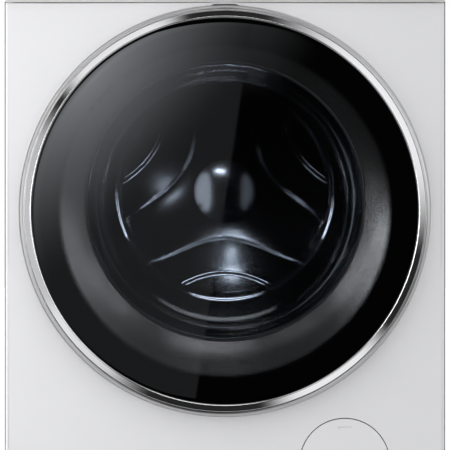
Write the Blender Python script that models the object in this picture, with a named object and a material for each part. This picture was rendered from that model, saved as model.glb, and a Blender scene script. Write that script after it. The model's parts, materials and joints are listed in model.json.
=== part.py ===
"""Front load washing machine: cabinet, door, drum, tub, drive, suspension, drawer and drain, as separate solids.

Metres, +Z up, the front faces -Y, and +X is to the right of someone facing the machine. The origin is on the
floor, under the middle of the machine. Every part is closed, and neighbours keep a small gap.
"""

import math

import bmesh
import bpy
from mathutils import Matrix

# ---------------------------------------------------------------- driving dimensions
WIDTH = 0.600
HEIGHT = 0.850
DEPTH = 0.660  # door glass to water inlet

FRONT_Y = -DEPTH / 2
PANEL_Y = FRONT_Y + 0.040  # face of the front panel
REAR_Y = DEPTH / 2 - 0.021  # outer face of the rear panel
SHEET = 0.0012
GAP = 0.0005  # between parts that touch

DOOR_Z = 0.448  # centre of the round door
WINDOW_Z = DOOR_Z + 0.0135  # the window sits a little high in the door
DRUM_Z = DOOR_Z + 0.0290  # the drum's axis

PANEL_TOP = 0.7335
PANEL_BOTTOM = 0.0145
TOP_PANEL_Z = 0.8285
DOOR_RADIUS = 0.279
RECESS_RADIUS = 0.280
RECESS_Y = PANEL_Y + 0.005
OPENING_RADIUS = 0.200

HINGE_X = -0.2605
HINGE_Y = FRONT_Y + 0.0245
LUG_RISE = 0.030  # each hinge lug stands this far above or below the door's centre

FLAP_X = 0.163
FLAP_Z = 0.1045
FLAP_RADIUS = 0.0608
FLAP_HINGE_Y = PANEL_Y + 0.0004
FLAP_HINGE_Z = FLAP_Z - 0.055

DRUM_RADIUS = 0.2475
DRUM_FRONT_Y = -0.214
DRUM_BACK_Y = 0.150
TUB_RADIUS = 0.2605
TUB_WALL = 0.004
TUB_FRONT_Y = -0.235
TUB_SPLIT_Y = -0.024
TUB_BACK_Y = 0.191

PULLEY_Y = 0.246
PULLEY_WIDTH = 0.016
DRUM_PULLEY_RADIUS = 0.140
MOTOR_PULLEY_RADIUS = 0.011
MOTOR_Z = 0.120

SPRING_X = 0.190
SPRING_Y = -0.030
SPRING_LUG_Z = DRUM_Z + 0.1985  # top of the lugs that the springs hold
DAMPER_X = 0.170
DAMPER_Y = -0.046

DRAWER_LEFT, DRAWER_RIGHT = -0.2780, -0.0820
DRAWER_LOW, DRAWER_HIGH = 0.7450, 0.8180
KNOB_X, CONTROL_Z = 0.0, 0.7815
BUTTON_X = 0.262

ROUND = 40  # sides of the door's rings
DRUM_SIDES = 36
SMALL_SIDES = 16

# ---------------------------------------------------------------- materials
COLOURS = {
    "white_enamel": ((0.83, 0.83, 0.84), 0.35, 0.0),
    "white_plastic": ((0.85, 0.85, 0.85), 0.40, 0.0),
    "galvanised": ((0.60, 0.61, 0.62), 0.45, 1.0),
    "chrome": ((0.85, 0.85, 0.86), 0.08, 1.0),
    "satin_silver": ((0.62, 0.62, 0.62), 0.35, 1.0),
    "smoked_glass": ((0.02, 0.02, 0.022), 0.03, 0.0),
    "clear_glass": ((0.75, 0.80, 0.82), 0.03, 0.0),
    "grey_plastic": ((0.30, 0.30, 0.30), 0.45, 0.0),
    "dark_plastic": ((0.05, 0.05, 0.055), 0.50, 0.0),
    "grey_rubber": ((0.16, 0.16, 0.17), 0.60, 0.0),
    "black_rubber": ((0.03, 0.03, 0.03), 0.70, 0.0),
    "stainless": ((0.55, 0.56, 0.58), 0.20, 1.0),
    "tub_plastic": ((0.60, 0.60, 0.58), 0.55, 0.0),
    "concrete": ((0.42, 0.41, 0.40), 0.90, 0.0),
    "cast_aluminium": ((0.62, 0.62, 0.63), 0.50, 1.0),
    "steel": ((0.45, 0.45, 0.46), 0.35, 1.0),
    "brass": ((0.60, 0.45, 0.20), 0.35, 1.0),
}


def clear_scene():
    for old in list(bpy.data.objects):
        bpy.data.objects.remove(old, do_unlink=True)


def material(name):
    found = bpy.data.materials.get(name)
    if found:
        return found
    colour, roughness, metallic = COLOURS[name]
    made = bpy.data.materials.new(name)
    made.use_nodes = True
    shader = made.node_tree.nodes["Principled BSDF"]
    shader.inputs["Base Color"].default_value = (*colour, 1.0)
    shader.inputs["Roughness"].default_value = roughness
    shader.inputs["Metallic"].default_value = metallic
    return made


# ---------------------------------------------------------------- mesh helpers
def warp(face):
    """How far the corners of a face stand off its mean plane."""
    centre = face.calc_center_median()
    return max(abs((corner.co - centre).dot(face.normal)) for corner in face.verts)


def mesh_object(name, points, faces, finish, at=(0, 0, 0), smooth_angle=35):
    mesh = bpy.data.meshes.new(name)
    mesh.from_pydata([tuple(p) for p in points], [], faces)
    shape = bmesh.new()
    shape.from_mesh(mesh)
    bmesh.ops.recalc_face_normals(shape, faces=shape.faces)
    bmesh.ops.triangulate(shape, faces=[face for face in shape.faces if warp(face) > 0.00005])
    shape.to_mesh(mesh)
    shape.free()
    mesh.shade_smooth()
    mesh.set_sharp_from_angle(angle=math.radians(smooth_angle))
    made = bpy.data.objects.new(name, mesh)
    made.location = at
    made.data.materials.append(material(finish))
    bpy.context.scene.collection.objects.link(made)
    return made


def strips(loops, closed=False, caps=False):
    """Points and faces of a surface through loops that all have the same number of points, or one point."""
    points, starts = [], []
    for loop in loops:
        starts.append((len(points), len(loop)))
        points.extend(loop)
    faces = []
    pairs = list(zip(starts, starts[1:] + starts[:1])) if closed else list(zip(starts, starts[1:]))
    for (a, count_a), (b, count_b) in pairs:
        count = max(count_a, count_b)
        for i in range(count):
            j = (i + 1) % count
            if count_a == 1:
                faces.append((a, b + i, b + j))
            elif count_b == 1:
                faces.append((a + i, b, a + j))
            else:
                faces.append((a + i, b + i, b + j, a + j))
    if caps:
        for start, count in (starts[0], starts[-1]):
            faces.append(tuple(range(start, start + count)))
    return points, faces


def circle(radius, sides, depth, rise=0.0):
    """A loop round the Y axis at y = depth, shifted up by rise; one point if the radius is 0."""
    if radius == 0:
        return [(0.0, depth, rise)]
    turns = [2 * math.pi * i / sides for i in range(sides)]
    return [(radius * math.cos(t), depth, radius * math.sin(t) + rise) for t in turns]


def turned(name, section, finish, at=(0, 0, 0), sides=DRUM_SIDES, axis="Y"):
    """A solid of revolution. section holds (radius, depth) or (radius, depth, rise); one that begins and ends on
    the axis is a solid body, and any other is a closed ring."""
    loops = [circle(s[0], sides, s[1], s[2] if len(s) > 2 else 0.0) for s in section]
    on_axis = section[0][0] == 0 and section[-1][0] == 0
    points, faces = strips(loops, closed=not on_axis)
    if axis == "Z":
        points = [(x, z, y) for x, y, z in points]
    return mesh_object(name, points, faces, finish, at)


def sheet_section(path, thickness):
    """A closed section of even thickness to the left of an open path of (radius, depth[, rise]) points."""
    path = [(p[0], p[1], p[2] if len(p) > 2 else 0.0) for p in path]
    offset = []
    for i, (r, y, rise) in enumerate(path):
        before = path[max(i - 1, 0)]
        after = path[min(i + 1, len(path) - 1)]
        normals = []
        for (r0, y0, _), (r1, y1, _) in ((before, path[i]), (path[i], after)):
            length = math.hypot(r1 - r0, y1 - y0)
            if length > 0:
                normals.append((-(y1 - y0) / length, (r1 - r0) / length))
        nr = sum(n[0] for n in normals) / len(normals)
        ny = sum(n[1] for n in normals) / len(normals)
        stretch = thickness / (nr * nr + ny * ny)
        offset.append((r + nr * stretch, y + ny * stretch, rise))
    return path + offset[::-1]


def box(name, low, high, finish, bevel=0.0):
    centre = [(a + b) / 2 for a, b in zip(low, high)]
    half = [(b - a) / 2 for a, b in zip(low, high)]
    corners = [(-1, -1), (1, -1), (1, 1), (-1, 1)]
    loops = [[(half[0] * x, half[1] * y, half[2] * z) for x, y in corners] for z in (-1, 1)]
    points, faces = strips(loops, caps=True)
    made = mesh_object(name, points, faces, finish, centre)
    if bevel:
        rounded(made, bevel)
    return made


def rounded(target, width, segments=2):
    bevel = target.modifiers.new("edges", "BEVEL")
    bevel.width = width
    bevel.segments = segments
    bevel.limit_method = "ANGLE"
    bevel.angle_limit = math.radians(50)


def prism(name, outline, low, high, finish, axis="Y", at=(0, 0, 0)):
    """An outline of (x, z) points pushed along Y, or of (x, y) points pushed along Z."""
    if axis == "Y":
        loops = [[(a, depth, b) for a, b in outline] for depth in (low, high)]
    else:
        loops = [[(a, b, depth) for a, b in outline] for depth in (low, high)]
    points, faces = strips(loops, caps=True)
    return mesh_object(name, points, faces, finish, at)


def band(name, outer, inner, low, high, finish):
    """A ring along Y between an outer and an inner outline of (x, z) points, with equal counts."""
    loops = [
        [(x, low, z) for x, z in outer],
        [(x, high, z) for x, z in outer],
        [(x, high, z) for x, z in inner],
        [(x, low, z) for x, z in inner],
    ]
    points, faces = strips(loops, closed=True)
    return mesh_object(name, points, faces, finish)


def tube(name, path, radius, finish, resolution=2):
    curve = bpy.data.curves.new(name, "CURVE")
    curve.dimensions = "3D"
    curve.bevel_depth = radius
    curve.bevel_resolution = resolution
    curve.use_fill_caps = True
    spline = curve.splines.new("POLY")
    spline.points.add(len(path) - 1)
    for point, place in zip(spline.points, path):
        point.co = (*place, 1.0)
    made = bpy.data.objects.new(name, curve)
    made.data.materials.append(material(finish))
    bpy.context.scene.collection.objects.link(made)
    return made


def helper(shape):
    """Hides a shape that only cuts or joins."""
    shape.hide_render = True
    shape.display_type = "WIRE"
    return shape


def combine(target, others, operation):
    for other in others:
        step = target.modifiers.new(operation.lower(), "BOOLEAN")
        step.operation = operation
        step.solver = "EXACT"
        step.object = helper(other)
    return target


def cut(target, *cutters):
    return combine(target, cutters, "DIFFERENCE")


def join(target, *others):
    return combine(target, others, "UNION")


def rod(name, radius, low, high, at, finish="steel", axis="Y", sides=SMALL_SIDES):
    """A plain cylinder from low to high along its axis, through the point at."""
    return turned(name, [(0, low), (radius, low), (radius, high), (0, high)], finish, at, sides, axis)


def arc(centre, radius, first, last, count):
    """Points (a, b) on a circle from angle first to last, in degrees."""
    angles = [math.radians(first + (last - first) * i / (count - 1)) for i in range(count)]
    return [(centre[0] + radius * math.cos(t), centre[1] + radius * math.sin(t)) for t in angles]


# ---------------------------------------------------------------- cabinet
def side_panel(name, side):
    """A folded sheet with a flange at the front and at the back."""
    outer, front, back, flange = 0.2997, PANEL_Y + 0.0145, REAR_Y - SHEET - 0.0003, 0.012
    outline = [
        (outer - flange, front), (outer, front), (outer, back), (outer - flange, back),
        (outer - flange, back - SHEET), (outer - SHEET, back - SHEET),
        (outer - SHEET, front + SHEET), (outer - flange, front + SHEET),
    ]
    outline = [(side * x, y) for x, y in outline]
    return prism(name, outline, 0.0235, 0.8275, "white_enamel", axis="Z")


def rear_panel():
    back = REAR_Y
    panel = box("rear_panel", (-0.2975, back - SHEET, 0.0235), (0.2975, back, 0.8275), "galvanised")
    service = rod("service_hole", 0.165, -0.01, 0.01, (0, back, DRUM_Z - 0.03), sides=DRUM_SIDES)
    inlet = rod("inlet_hole", 0.0150, -0.01, 0.01, (-0.22, back, 0.79))
    drain = rod("drain_hole", 0.0130, -0.01, 0.01, (0.22, back, 0.79))
    cable = rod("cable_hole", 0.0085, -0.01, 0.01, (0.22, back, 0.12))
    cut(panel, service, inlet, drain, cable)
    path = [(0.1900, REAR_Y + 0.0016), (0.1720, REAR_Y + 0.0016), (0.1600, REAR_Y + 0.0120), (0.0900, REAR_Y + 0.0120)]
    face = REAR_Y + 0.0120
    section = [(0, face), *path[::-1], (0.1900, REAR_Y + 0.0004), (0.1714, REAR_Y + 0.0004),
               (0.1594, face - SHEET), (0, face - SHEET)]
    turned("rear_service_cover", section, "galvanised", (0, 0, DRUM_Z - 0.03))


def base():
    """A tray with an upturned edge and holes for the feet."""
    half, front, back, edge = 0.2970, PANEL_Y + 0.0180, REAR_Y - 0.0045, 0.0225
    low, high = PANEL_BOTTOM, PANEL_BOTTOM + 0.030
    pan = box("base_pan", (-half, front, low), (half, back, high), "galvanised")
    inside = box("base_inside", (-half + SHEET, front + SHEET, low + SHEET), (half - SHEET, back - SHEET, high + edge),
                 "galvanised")
    cut(pan, inside)
    for name, x, y in (("front_left", -1, -0.235), ("front_right", 1, -0.235), ("rear_left", -1, 0.265),
                       ("rear_right", 1, 0.265)):
        place = (x * 0.255, y, 0)
        cut(pan, rod(f"foot_hole_{name}", 0.0065, 0, 0.03, place, axis="Z"))
        section = [(0, 0), (0.020, 0), (0.022, 0.003), (0.022, 0.007), (0.012, 0.0100), (0.012, 0.0140), (0.005, 0.0140),
                   (0.005, 0.042), (0, 0.042)]
        turned(f"foot_{name}", section, "black_rubber", place, 12, axis="Z")


def square_loop(half_width, low, high, depth, sides=ROUND):
    """A rectangle with one point for each side of the door's circles, seen from the door's centre."""
    angles = [2 * math.pi * i / sides for i in range(sides)]
    loop = []
    for t in angles:
        across, up = math.cos(t), math.sin(t)
        room = [half_width / abs(across)] if abs(across) > 1e-9 else []
        if abs(up) > 1e-9:
            room.append((high - DOOR_Z) / up if up > 0 else (low - DOOR_Z) / up)
        loop.append((min(room) * across, min(room) * up))
    for corner in ((half_width, high), (-half_width, high), (-half_width, low), (half_width, low)):
        bearing = math.atan2(corner[1] - DOOR_Z, corner[0])
        nearest = round(bearing / (2 * math.pi) * sides) % sides
        loop[nearest] = (corner[0], corner[1] - DOOR_Z)
    return [(x, depth, z) for x, z in loop]


def front_panel():
    """A pressed sheet: flange, face, round recess for the door, opening with a turned-in rim."""
    half = WIDTH / 2
    low, high = PANEL_BOTTOM, PANEL_TOP
    window = WINDOW_Z - DOOR_Z
    loops = [
        square_loop(half, low, high, PANEL_Y + 0.0135),
        square_loop(half, low, high, PANEL_Y + 0.0020),
        square_loop(half - 0.0015, low + 0.0015, high - 0.0015, PANEL_Y),
        circle(RECESS_RADIUS + 0.0015, ROUND, PANEL_Y),
        circle(RECESS_RADIUS, ROUND, PANEL_Y + 0.0015),
        circle(RECESS_RADIUS, ROUND, RECESS_Y),
        circle(OPENING_RADIUS + 0.0020, ROUND, RECESS_Y, window),
        circle(OPENING_RADIUS, ROUND, RECESS_Y + 0.0015, window),
        circle(OPENING_RADIUS, ROUND, RECESS_Y + 0.0170, window),
    ]
    points, faces = strips(loops)
    panel = mesh_object("front_panel", points, faces, "white_enamel", (0, 0, DOOR_Z))
    if panel.data.polygons[3 * ROUND].normal.y > 0:
        panel.data.flip_normals()
    thick = panel.modifiers.new("thickness", "SOLIDIFY")
    thick.thickness = SHEET
    thick.offset = -1
    thick.use_even_offset = True
    hole = rod("flap_hole", FLAP_RADIUS + 0.0010, -0.01, 0.01, (FLAP_X, PANEL_Y, FLAP_Z), sides=DRUM_SIDES)
    slot = box("latch_slot", (0.2415, RECESS_Y - 0.01, DOOR_Z - 0.006), (0.2575, RECESS_Y + 0.01, DOOR_Z + 0.006), "steel")
    cut(panel, hole, slot)


def worktop():
    box("worktop", (-0.2990, PANEL_Y - 0.008, TOP_PANEL_Z), (0.2990, REAR_Y, HEIGHT), "white_enamel", bevel=0.003)


def control_panel():
    """The fascia, a tray open at the back, with holes for the drawer, the knob and the button."""
    half, low, high = WIDTH / 2 + 0.0014, PANEL_TOP + 0.0017, TOP_PANEL_Z - GAP
    front, back, wall = PANEL_Y - 0.010, PANEL_Y + 0.0135, 0.0025
    fascia = box("control_panel", (-half, front, low), (half, back, high), "white_plastic")
    inside = box("fascia_inside", (-half + wall, front + wall, low + wall), (half - wall, back + 0.01, high - wall),
                 "white_plastic")
    drawer = box("drawer_hole", (DRAWER_LEFT - 0.001, front - 0.01, DRAWER_LOW - 0.001),
                 (DRAWER_RIGHT + 0.001, back - 0.005, DRAWER_HIGH + 0.001), "white_plastic")
    knob = rod("knob_hole", 0.0045, -0.02, 0.02, (KNOB_X, front, CONTROL_Z))
    button = rod("button_hole", 0.0092, -0.02, 0.02, (BUTTON_X, front, CONTROL_Z))
    cut(fascia, inside, drawer, knob, button)

    turned("program_knob", [(0, -0.0165), (0.0215, -0.0165), (0.0235, -0.0150), (0.0250, -0.0003), (0.0040, -0.0003),
                            (0.0040, 0.0120), (0, 0.0120)], "satin_silver", (KNOB_X, front, CONTROL_Z), 28)
    turned("power_button", [(0, -0.0026), (0.0080, -0.0026), (0.0086, -0.0020), (0.0086, 0.0030), (0, 0.0030)],
           "satin_silver", (BUTTON_X, front, CONTROL_Z), SMALL_SIDES)
    box("control_board_box", (0.095, -0.262, 0.7600), (0.285, -0.130, 0.8150), "dark_plastic")


def drawer():
    """Front and three-compartment tray that slide out of the dispenser housing."""
    front = PANEL_Y - 0.010
    face = box("drawer_front", (DRAWER_LEFT, front, DRAWER_LOW), (DRAWER_RIGHT, front + 0.0200, DRAWER_HIGH),
               "white_plastic")
    grip = box("grip_pocket", (DRAWER_LEFT + 0.055, front - 0.010, DRAWER_LOW + 0.005),
               (DRAWER_RIGHT - 0.055, front + 0.0165, DRAWER_LOW + 0.024), "white_plastic")
    hook = box("grip_hook", (DRAWER_LEFT + 0.055, front + 0.0060, DRAWER_LOW + 0.010),
               (DRAWER_RIGHT - 0.055, front + 0.0165, DRAWER_LOW + 0.036), "white_plastic")
    cut(face, grip, hook)
    left, right = DRAWER_LEFT + 0.0065, DRAWER_RIGHT - 0.0065
    start, end, low, high, wall = front + 0.0204, -0.0720, 0.7610, 0.8060, 0.0020
    tray = box("drawer_tray", (left, start, low), (right, end, high), "white_plastic")
    middle = left + 0.118
    bays = [
        ("main_wash", left + wall, start + wall, middle - wall / 2, end - wall),
        ("softener", middle + wall / 2, start + wall, right - wall, -0.180),
        ("prewash", middle + wall / 2, -0.180 + wall, right - wall, end - wall),
    ]
    for name, x0, y0, x1, y1 in bays:
        cut(tray, box(f"bay_{name}", (x0, y0, low + wall), (x1, y1, high + 0.01), "white_plastic"))
    housing = box("dispenser_housing", (DRAWER_LEFT - 0.0005, PANEL_Y + 0.0145, 0.7530),
                  (DRAWER_RIGHT + 0.0005, -0.0560, 0.8190), "white_plastic")
    hollow = box("housing_inside", (DRAWER_LEFT + 0.0015, PANEL_Y, 0.7550), (DRAWER_RIGHT - 0.0015, -0.0580, 0.8170),
                 "white_plastic")
    cut(housing, hollow)


# ---------------------------------------------------------------- door
def glass_depth(radius):
    """Front surface of the slightly domed door glass."""
    return FRONT_Y + 0.0022 * (radius / 0.2626) ** 2


def hinge_notches(prefix):
    """Room at the back of the door for the fixed hinge lugs, through the whole swing."""
    return [box(f"{prefix}_notch_{word}", (HINGE_X - 0.022, HINGE_Y - 0.0006, DOOR_Z + side * LUG_RISE - 0.007),
                (HINGE_X + 0.0275, HINGE_Y + 0.03, DOOR_Z + side * LUG_RISE + 0.007), "steel")
            for word, side in (("low", -1), ("high", 1))]


def door():
    at = (0, 0, DOOR_Z)
    window = WINDOW_Z - DOOR_Z
    turned("door_chrome_ring", [
        (0.2632, -0.3288), (0.2640, -0.3292), (0.2652, -0.3284), (0.2718, -0.3246), (0.2723, -0.3236), (0.2723, -0.3195),
        (0.2632, -0.3195)], "chrome", at, ROUND)
    outer = turned("door_outer_frame", [
        (0.2728, -0.3212), (0.2752, -0.3196), (0.2775, -0.3155), (0.2788, -0.3105), (DOOR_RADIUS, -0.3065),
        (0.2785, -0.3035), (0.2728, -0.2915)], "satin_silver", at, ROUND)
    cut(outer, *hinge_notches("outer"))
    glass_back = 0.0035
    front = [(r, glass_depth(r)) for r in (0, 0.14, 0.2610)]
    back = [(r, glass_depth(r) + glass_back) for r in (0.2610, 0.14, 0)]
    edge = [(0.2626, glass_depth(0.2610) + 0.0010), (0.2626, glass_depth(0.2610) + glass_back - 0.0005)]
    turned("door_glass_cover", front + edge + back, "smoked_glass", at, ROUND)
    turned("door_inner_bezel", [
        (0.1895, -0.3035, window), (0.2320, -0.3220), (0.2350, -0.3220), (0.2350, -0.2930), (0.2325, -0.2930),
        (0.2325, -0.3190), (0.1905, -0.3008, window), (0.1895, -0.3008, window)], "grey_plastic", at, ROUND)
    rear = turned("door_rear_frame", [
        (0.2715, -0.3190), (0.2715, -0.2890), (0.1895, -0.2890, window), (0.1895, -0.2925, window), (0.2685, -0.2925),
        (0.2685, -0.3190)], "white_plastic", at, ROUND)
    slot = box("hook_slot", (0.2405, -0.300, DOOR_Z - 0.005), (0.2560, -0.28, DOOR_Z + 0.005), "steel")
    cut(rear, slot, *hinge_notches("rear"))
    turned("door_bowl", [
        (0, -0.1905), (0.1350, -0.1940), (0.1540, -0.2060), (0.1700, -0.2450), (0.1830, -0.2990), (0.1995, -0.2990),
        (0.1995, -0.2940), (0.1868, -0.2935), (0.1745, -0.2430), (0.1580, -0.2025), (0.1380, -0.1890), (0, -0.1855)], "clear_glass", (0, 0, WINDOW_Z), ROUND)


def hinge():
    """The fixed bracket with its pin and two goose-neck lugs, and the door's own arm round the pin."""
    knuckle, pin = 0.0045, 0.0025
    plate_x = HINGE_X + 0.0180
    bracket = box("hinge_bracket", (plate_x, RECESS_Y - 0.0025, DOOR_Z - 0.045),
                  (plate_x + 0.026, RECESS_Y - 0.0004, DOOR_Z + 0.045), "steel")
    for word, side in (("low", -1), ("high", 1)):
        z = DOOR_Z + side * LUG_RISE
        outline = arc((HINGE_X, HINGE_Y), knuckle, 90, 290, 11)
        outline += [(HINGE_X + 0.0240, HINGE_Y - 0.0025), (HINGE_X + 0.0240, RECESS_Y - 0.001),
                    (plate_x, RECESS_Y - 0.001), (plate_x, HINGE_Y + knuckle)]
        join(bracket, prism(f"lug_{word}", outline, z - 0.005, z + 0.005, "steel", axis="Z"))
    join(bracket, rod("hinge_pin", pin, -LUG_RISE - 0.003, LUG_RISE + 0.003, (HINGE_X, HINGE_Y, DOOR_Z), axis="Z",
                      sides=12))

    half = LUG_RISE - 0.0056
    sleeve = [(pin + 0.0004, -half), (knuckle, -half), (knuckle, half), (pin + 0.0004, half)]
    arm = turned("door_hinge_arm", sleeve, "steel", (HINGE_X, HINGE_Y, DOOR_Z), 16, axis="Z")
    web = box("arm_web", (HINGE_X + 0.0036, HINGE_Y - 0.0010, DOOR_Z - half), (HINGE_X + 0.0075, -0.2945, DOOR_Z + half),
              "steel")
    foot = box("arm_foot", (HINGE_X + 0.0036, -0.2960, DOOR_Z - half), (HINGE_X + 0.0225, -0.2930, DOOR_Z + half),
               "steel")
    join(arm, web, foot)


def latch():
    """The spring-loaded hook in the door, and the lock behind the front panel."""
    pivot = (0.2500, -0.3050)
    outline = arc(pivot, 0.0050, 120, 420, 13)
    outline += [(0.2525, -0.2680), (0.2455, -0.2680), (0.2440, -0.2720), (0.2475, -0.2735)]
    outline = [(x - pivot[0], y - pivot[1]) for x, y in outline]
    prism("latch_hook", outline[::-1], -0.0025, 0.0025, "steel", axis="Z", at=(*pivot, DOOR_Z))
    lock = box("door_lock", (0.2300, RECESS_Y + 0.0020, DOOR_Z - 0.035), (0.2700, RECESS_Y + 0.0350, DOOR_Z + 0.035),
               "dark_plastic")
    mouth = box("lock_mouth", (0.2380, RECESS_Y - 0.01, DOOR_Z - 0.008), (0.2610, RECESS_Y + 0.0240, DOOR_Z + 0.008),
                "dark_plastic")
    cut(lock, mouth)


def door_seal():
    """The rubber bellows from the front panel's rim to the tub, which is centred a little higher."""
    lift = DRUM_Z - WINDOW_Z
    path = [(0.1970, -0.2835), (0.1970, -0.2600), (0.2040, -0.2520), (0.2040, -0.2356)]
    rises = (0, 0, lift, lift)
    section = sheet_section([(*p, r) for p, r in zip(path, rises)], 0.0040)
    lip = [(0.1880, -0.2800), (0.1862, -0.2850)]
    section = section[:4] + section[4:-1] + [(*lip[0], 0), (*lip[1], 0), (0.1970, -0.2865, 0)]
    turned("door_seal", section, "grey_rubber", (0, 0, WINDOW_Z), ROUND)


# ---------------------------------------------------------------- tub
def tub():
    at = (0, 0, DRUM_Z)
    inner = TUB_RADIUS - TUB_WALL
    split, flange = TUB_SPLIT_Y, 0.0095
    turned("tub_front", [
        (TUB_RADIUS, TUB_FRONT_Y + 0.008), (TUB_RADIUS - 0.008, TUB_FRONT_Y), (0.1980, TUB_FRONT_Y),
        (0.1980, TUB_FRONT_Y + TUB_WALL), (inner - 0.006, TUB_FRONT_Y + TUB_WALL), (inner, TUB_FRONT_Y + 0.010),
        (inner, split - GAP), (TUB_RADIUS + flange, split - GAP), (TUB_RADIUS + flange, split - 0.006),
        (TUB_RADIUS, split - 0.006)], "tub_plastic", at)
    back, hub = TUB_BACK_Y, 0.0265
    rear = turned("tub_rear", [
        (TUB_RADIUS + flange, split + GAP), (inner, split + GAP), (inner, back - 0.012), (inner - 0.008, back - TUB_WALL),
        (hub, back - TUB_WALL), (hub, back + 0.040), (0.0450, back + 0.040), (0.0520, back), (TUB_RADIUS - 0.010, back),
        (TUB_RADIUS, back - 0.012), (TUB_RADIUS, split + 0.006), (TUB_RADIUS + flange, split + 0.006)],
        "tub_plastic", at)
    for side, word in ((-1, "left"), (1, "right")):
        x = side * SPRING_X
        join(rear, box(f"spring_lug_{word}", (x - 0.010, split + GAP, SPRING_LUG_Z - 0.0110), (x + 0.010, split + 0.006, SPRING_LUG_Z),
                       "tub_plastic"))
    bearing = [(0.0156, -0.008), (0.0260, -0.008), (0.0260, 0.008), (0.0156, 0.008)]
    turned("front_bearing", bearing, "steel", (0, back + 0.006, DRUM_Z), 24)
    turned("rear_bearing", bearing, "steel", (0, back + 0.030, DRUM_Z), 24)

    heater_r, depth0, depth1 = 0.2520, TUB_FRONT_Y + 0.012, 0.100
    bend = [(heater_r * math.sin(math.radians(a)), heater_r * -math.cos(math.radians(a))) for a in range(-8, 9, 4)]
    route = [(bend[0][0], depth0 + (depth1 - depth0) * i / 4, DRUM_Z + bend[0][1]) for i in range(5)]
    route += [(x, depth1 + 0.008 * math.cos(math.radians(22 * (i - 1))), DRUM_Z + z)
              for i, (x, z) in enumerate(bend[1:-1])]
    route += [(bend[-1][0], depth1 - (depth1 - depth0) * i / 4, DRUM_Z + bend[-1][1]) for i in range(5)]
    tube("heating_element", route, 0.0028, "stainless", 1)

    top = arc((0, DRUM_Z), TUB_RADIUS + 0.0008, 122, 58, 13)
    prism("upper_counterweight", [*top, (0.138, 0.755), (0.120, 0.785), (-0.120, 0.785), (-0.138, 0.755)],
          0.030, 0.140, "concrete")
    crescent = arc((0, DRUM_Z), 0.2560, 205, 335, 23) + arc((0, DRUM_Z), 0.2190, 335, 205, 23)
    prism("lower_counterweight", crescent, TUB_FRONT_Y - 0.0285, TUB_FRONT_Y - GAP, "concrete")


def suspension():
    box("spring_crossbar", (-0.2980, SPRING_Y - 0.011, 0.8000), (0.2980, SPRING_Y + 0.011, 0.8250), "galvanised")
    turns, coil_radius, points = 5, 0.0110, 8
    low, high = SPRING_LUG_Z + 0.0160, 0.7880
    for side, word in ((-1, "left"), (1, "right")):
        x, y = side * SPRING_X, SPRING_Y + 0.008
        coil = [(x, y, SPRING_LUG_Z + 0.0012), (x, y, low - 0.004)]
        for i in range(turns * points + 1):
            t = 2 * math.pi * i / points
            coil.append((x + coil_radius * math.cos(t), y + coil_radius * math.sin(t),
                         low + (high - low) * i / (turns * points)))
        coil += [(x, y, high + 0.004), (x, y, 0.7985)]
        tube(f"suspension_spring_{word}", coil, 0.0015, "steel", 0)

        foot = PANEL_BOTTOM + SHEET + GAP
        at = (side * DAMPER_X, DAMPER_Y, 0)
        turned(f"damper_cylinder_{word}", [
            (0, foot), (0.0150, foot), (0.0150, 0.1450), (0.0070, 0.1450), (0.0070, 0.0400), (0, 0.0400)],
            "dark_plastic", at, SMALL_SIDES, axis="Z")
        eye = DRUM_Z - math.sqrt(TUB_RADIUS ** 2 - DAMPER_X ** 2) - 0.010
        turned(f"damper_rod_{word}", [(0, 0.0600), (0.0055, 0.0600), (0.0055, eye - 0.012), (0.0100, eye - 0.012),
                                      (0.0100, eye), (0, eye)], "steel", at, SMALL_SIDES, axis="Z")


# ---------------------------------------------------------------- drum
def star_inset(across, up):
    """How far a point of the drum's back lies inside the three-armed pressing: negative outside it."""
    near, rise, half_span, tip = 0.0660, 0.0370, 0.1280, 0.1510
    inset = []
    for bearing in (30, 150, 270):
        t = math.radians(bearing)
        out, along = across * math.cos(t) + up * math.sin(t), across * math.sin(t) - up * math.cos(t)
        edge = near + rise * math.sin(math.pi / 2 * min(abs(along) / half_span, 1)) ** 2
        inset += [edge - out, tip + out]
    return min(inset)


def pressed_depth(across, up):
    """How far the drum's back stands forward of its rim at this place."""
    step = 0.007
    share = min(max(star_inset(across, up) / step + 0.5, 0), 1)
    star = 0.013 * share * share * (3 - 2 * share)
    dome = 0.016 * max(0.0, 1 - (across ** 2 + up ** 2) / 0.044 ** 2) ** 1.5
    return star + dome


def drum():
    at = (0, 0, DRUM_Z)
    front, back = DRUM_FRONT_Y, DRUM_BACK_Y
    path = [(0.1830, front + 0.008), (0.1860, front), (0.2350, front), (0.2440, front + 0.006),
            (DRUM_RADIUS, front + 0.018), (DRUM_RADIUS, back + 0.004)]
    turned("drum_shell", sheet_section(path, 0.0012), "stainless", at)

    radii = [0, 0.024, 0.044, 0.062, 0.072, 0.095, 0.120, 0.145, 0.158, 0.2450]
    face, rear = [], []
    for r in radii:
        turns = [2 * math.pi * i / DRUM_SIDES for i in range(DRUM_SIDES)] if r else [0.0]
        places = [(r * math.cos(t), r * math.sin(t)) for t in turns]
        loop = [(x, back - pressed_depth(x, z), z) for x, z in places]
        face.append(loop)
        rear.append([(x, y + 0.0012, z) for x, y, z in loop])
    points, faces = strips(face + rear[::-1])
    mesh_object("drum_back", points, faces, "stainless", at)

    for i, bearing in enumerate((90, 210, 330)):
        lifter(f"drum_lifter_{i + 1}", math.radians(bearing))
    spider_and_shaft()
    drum_pulley()


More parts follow.
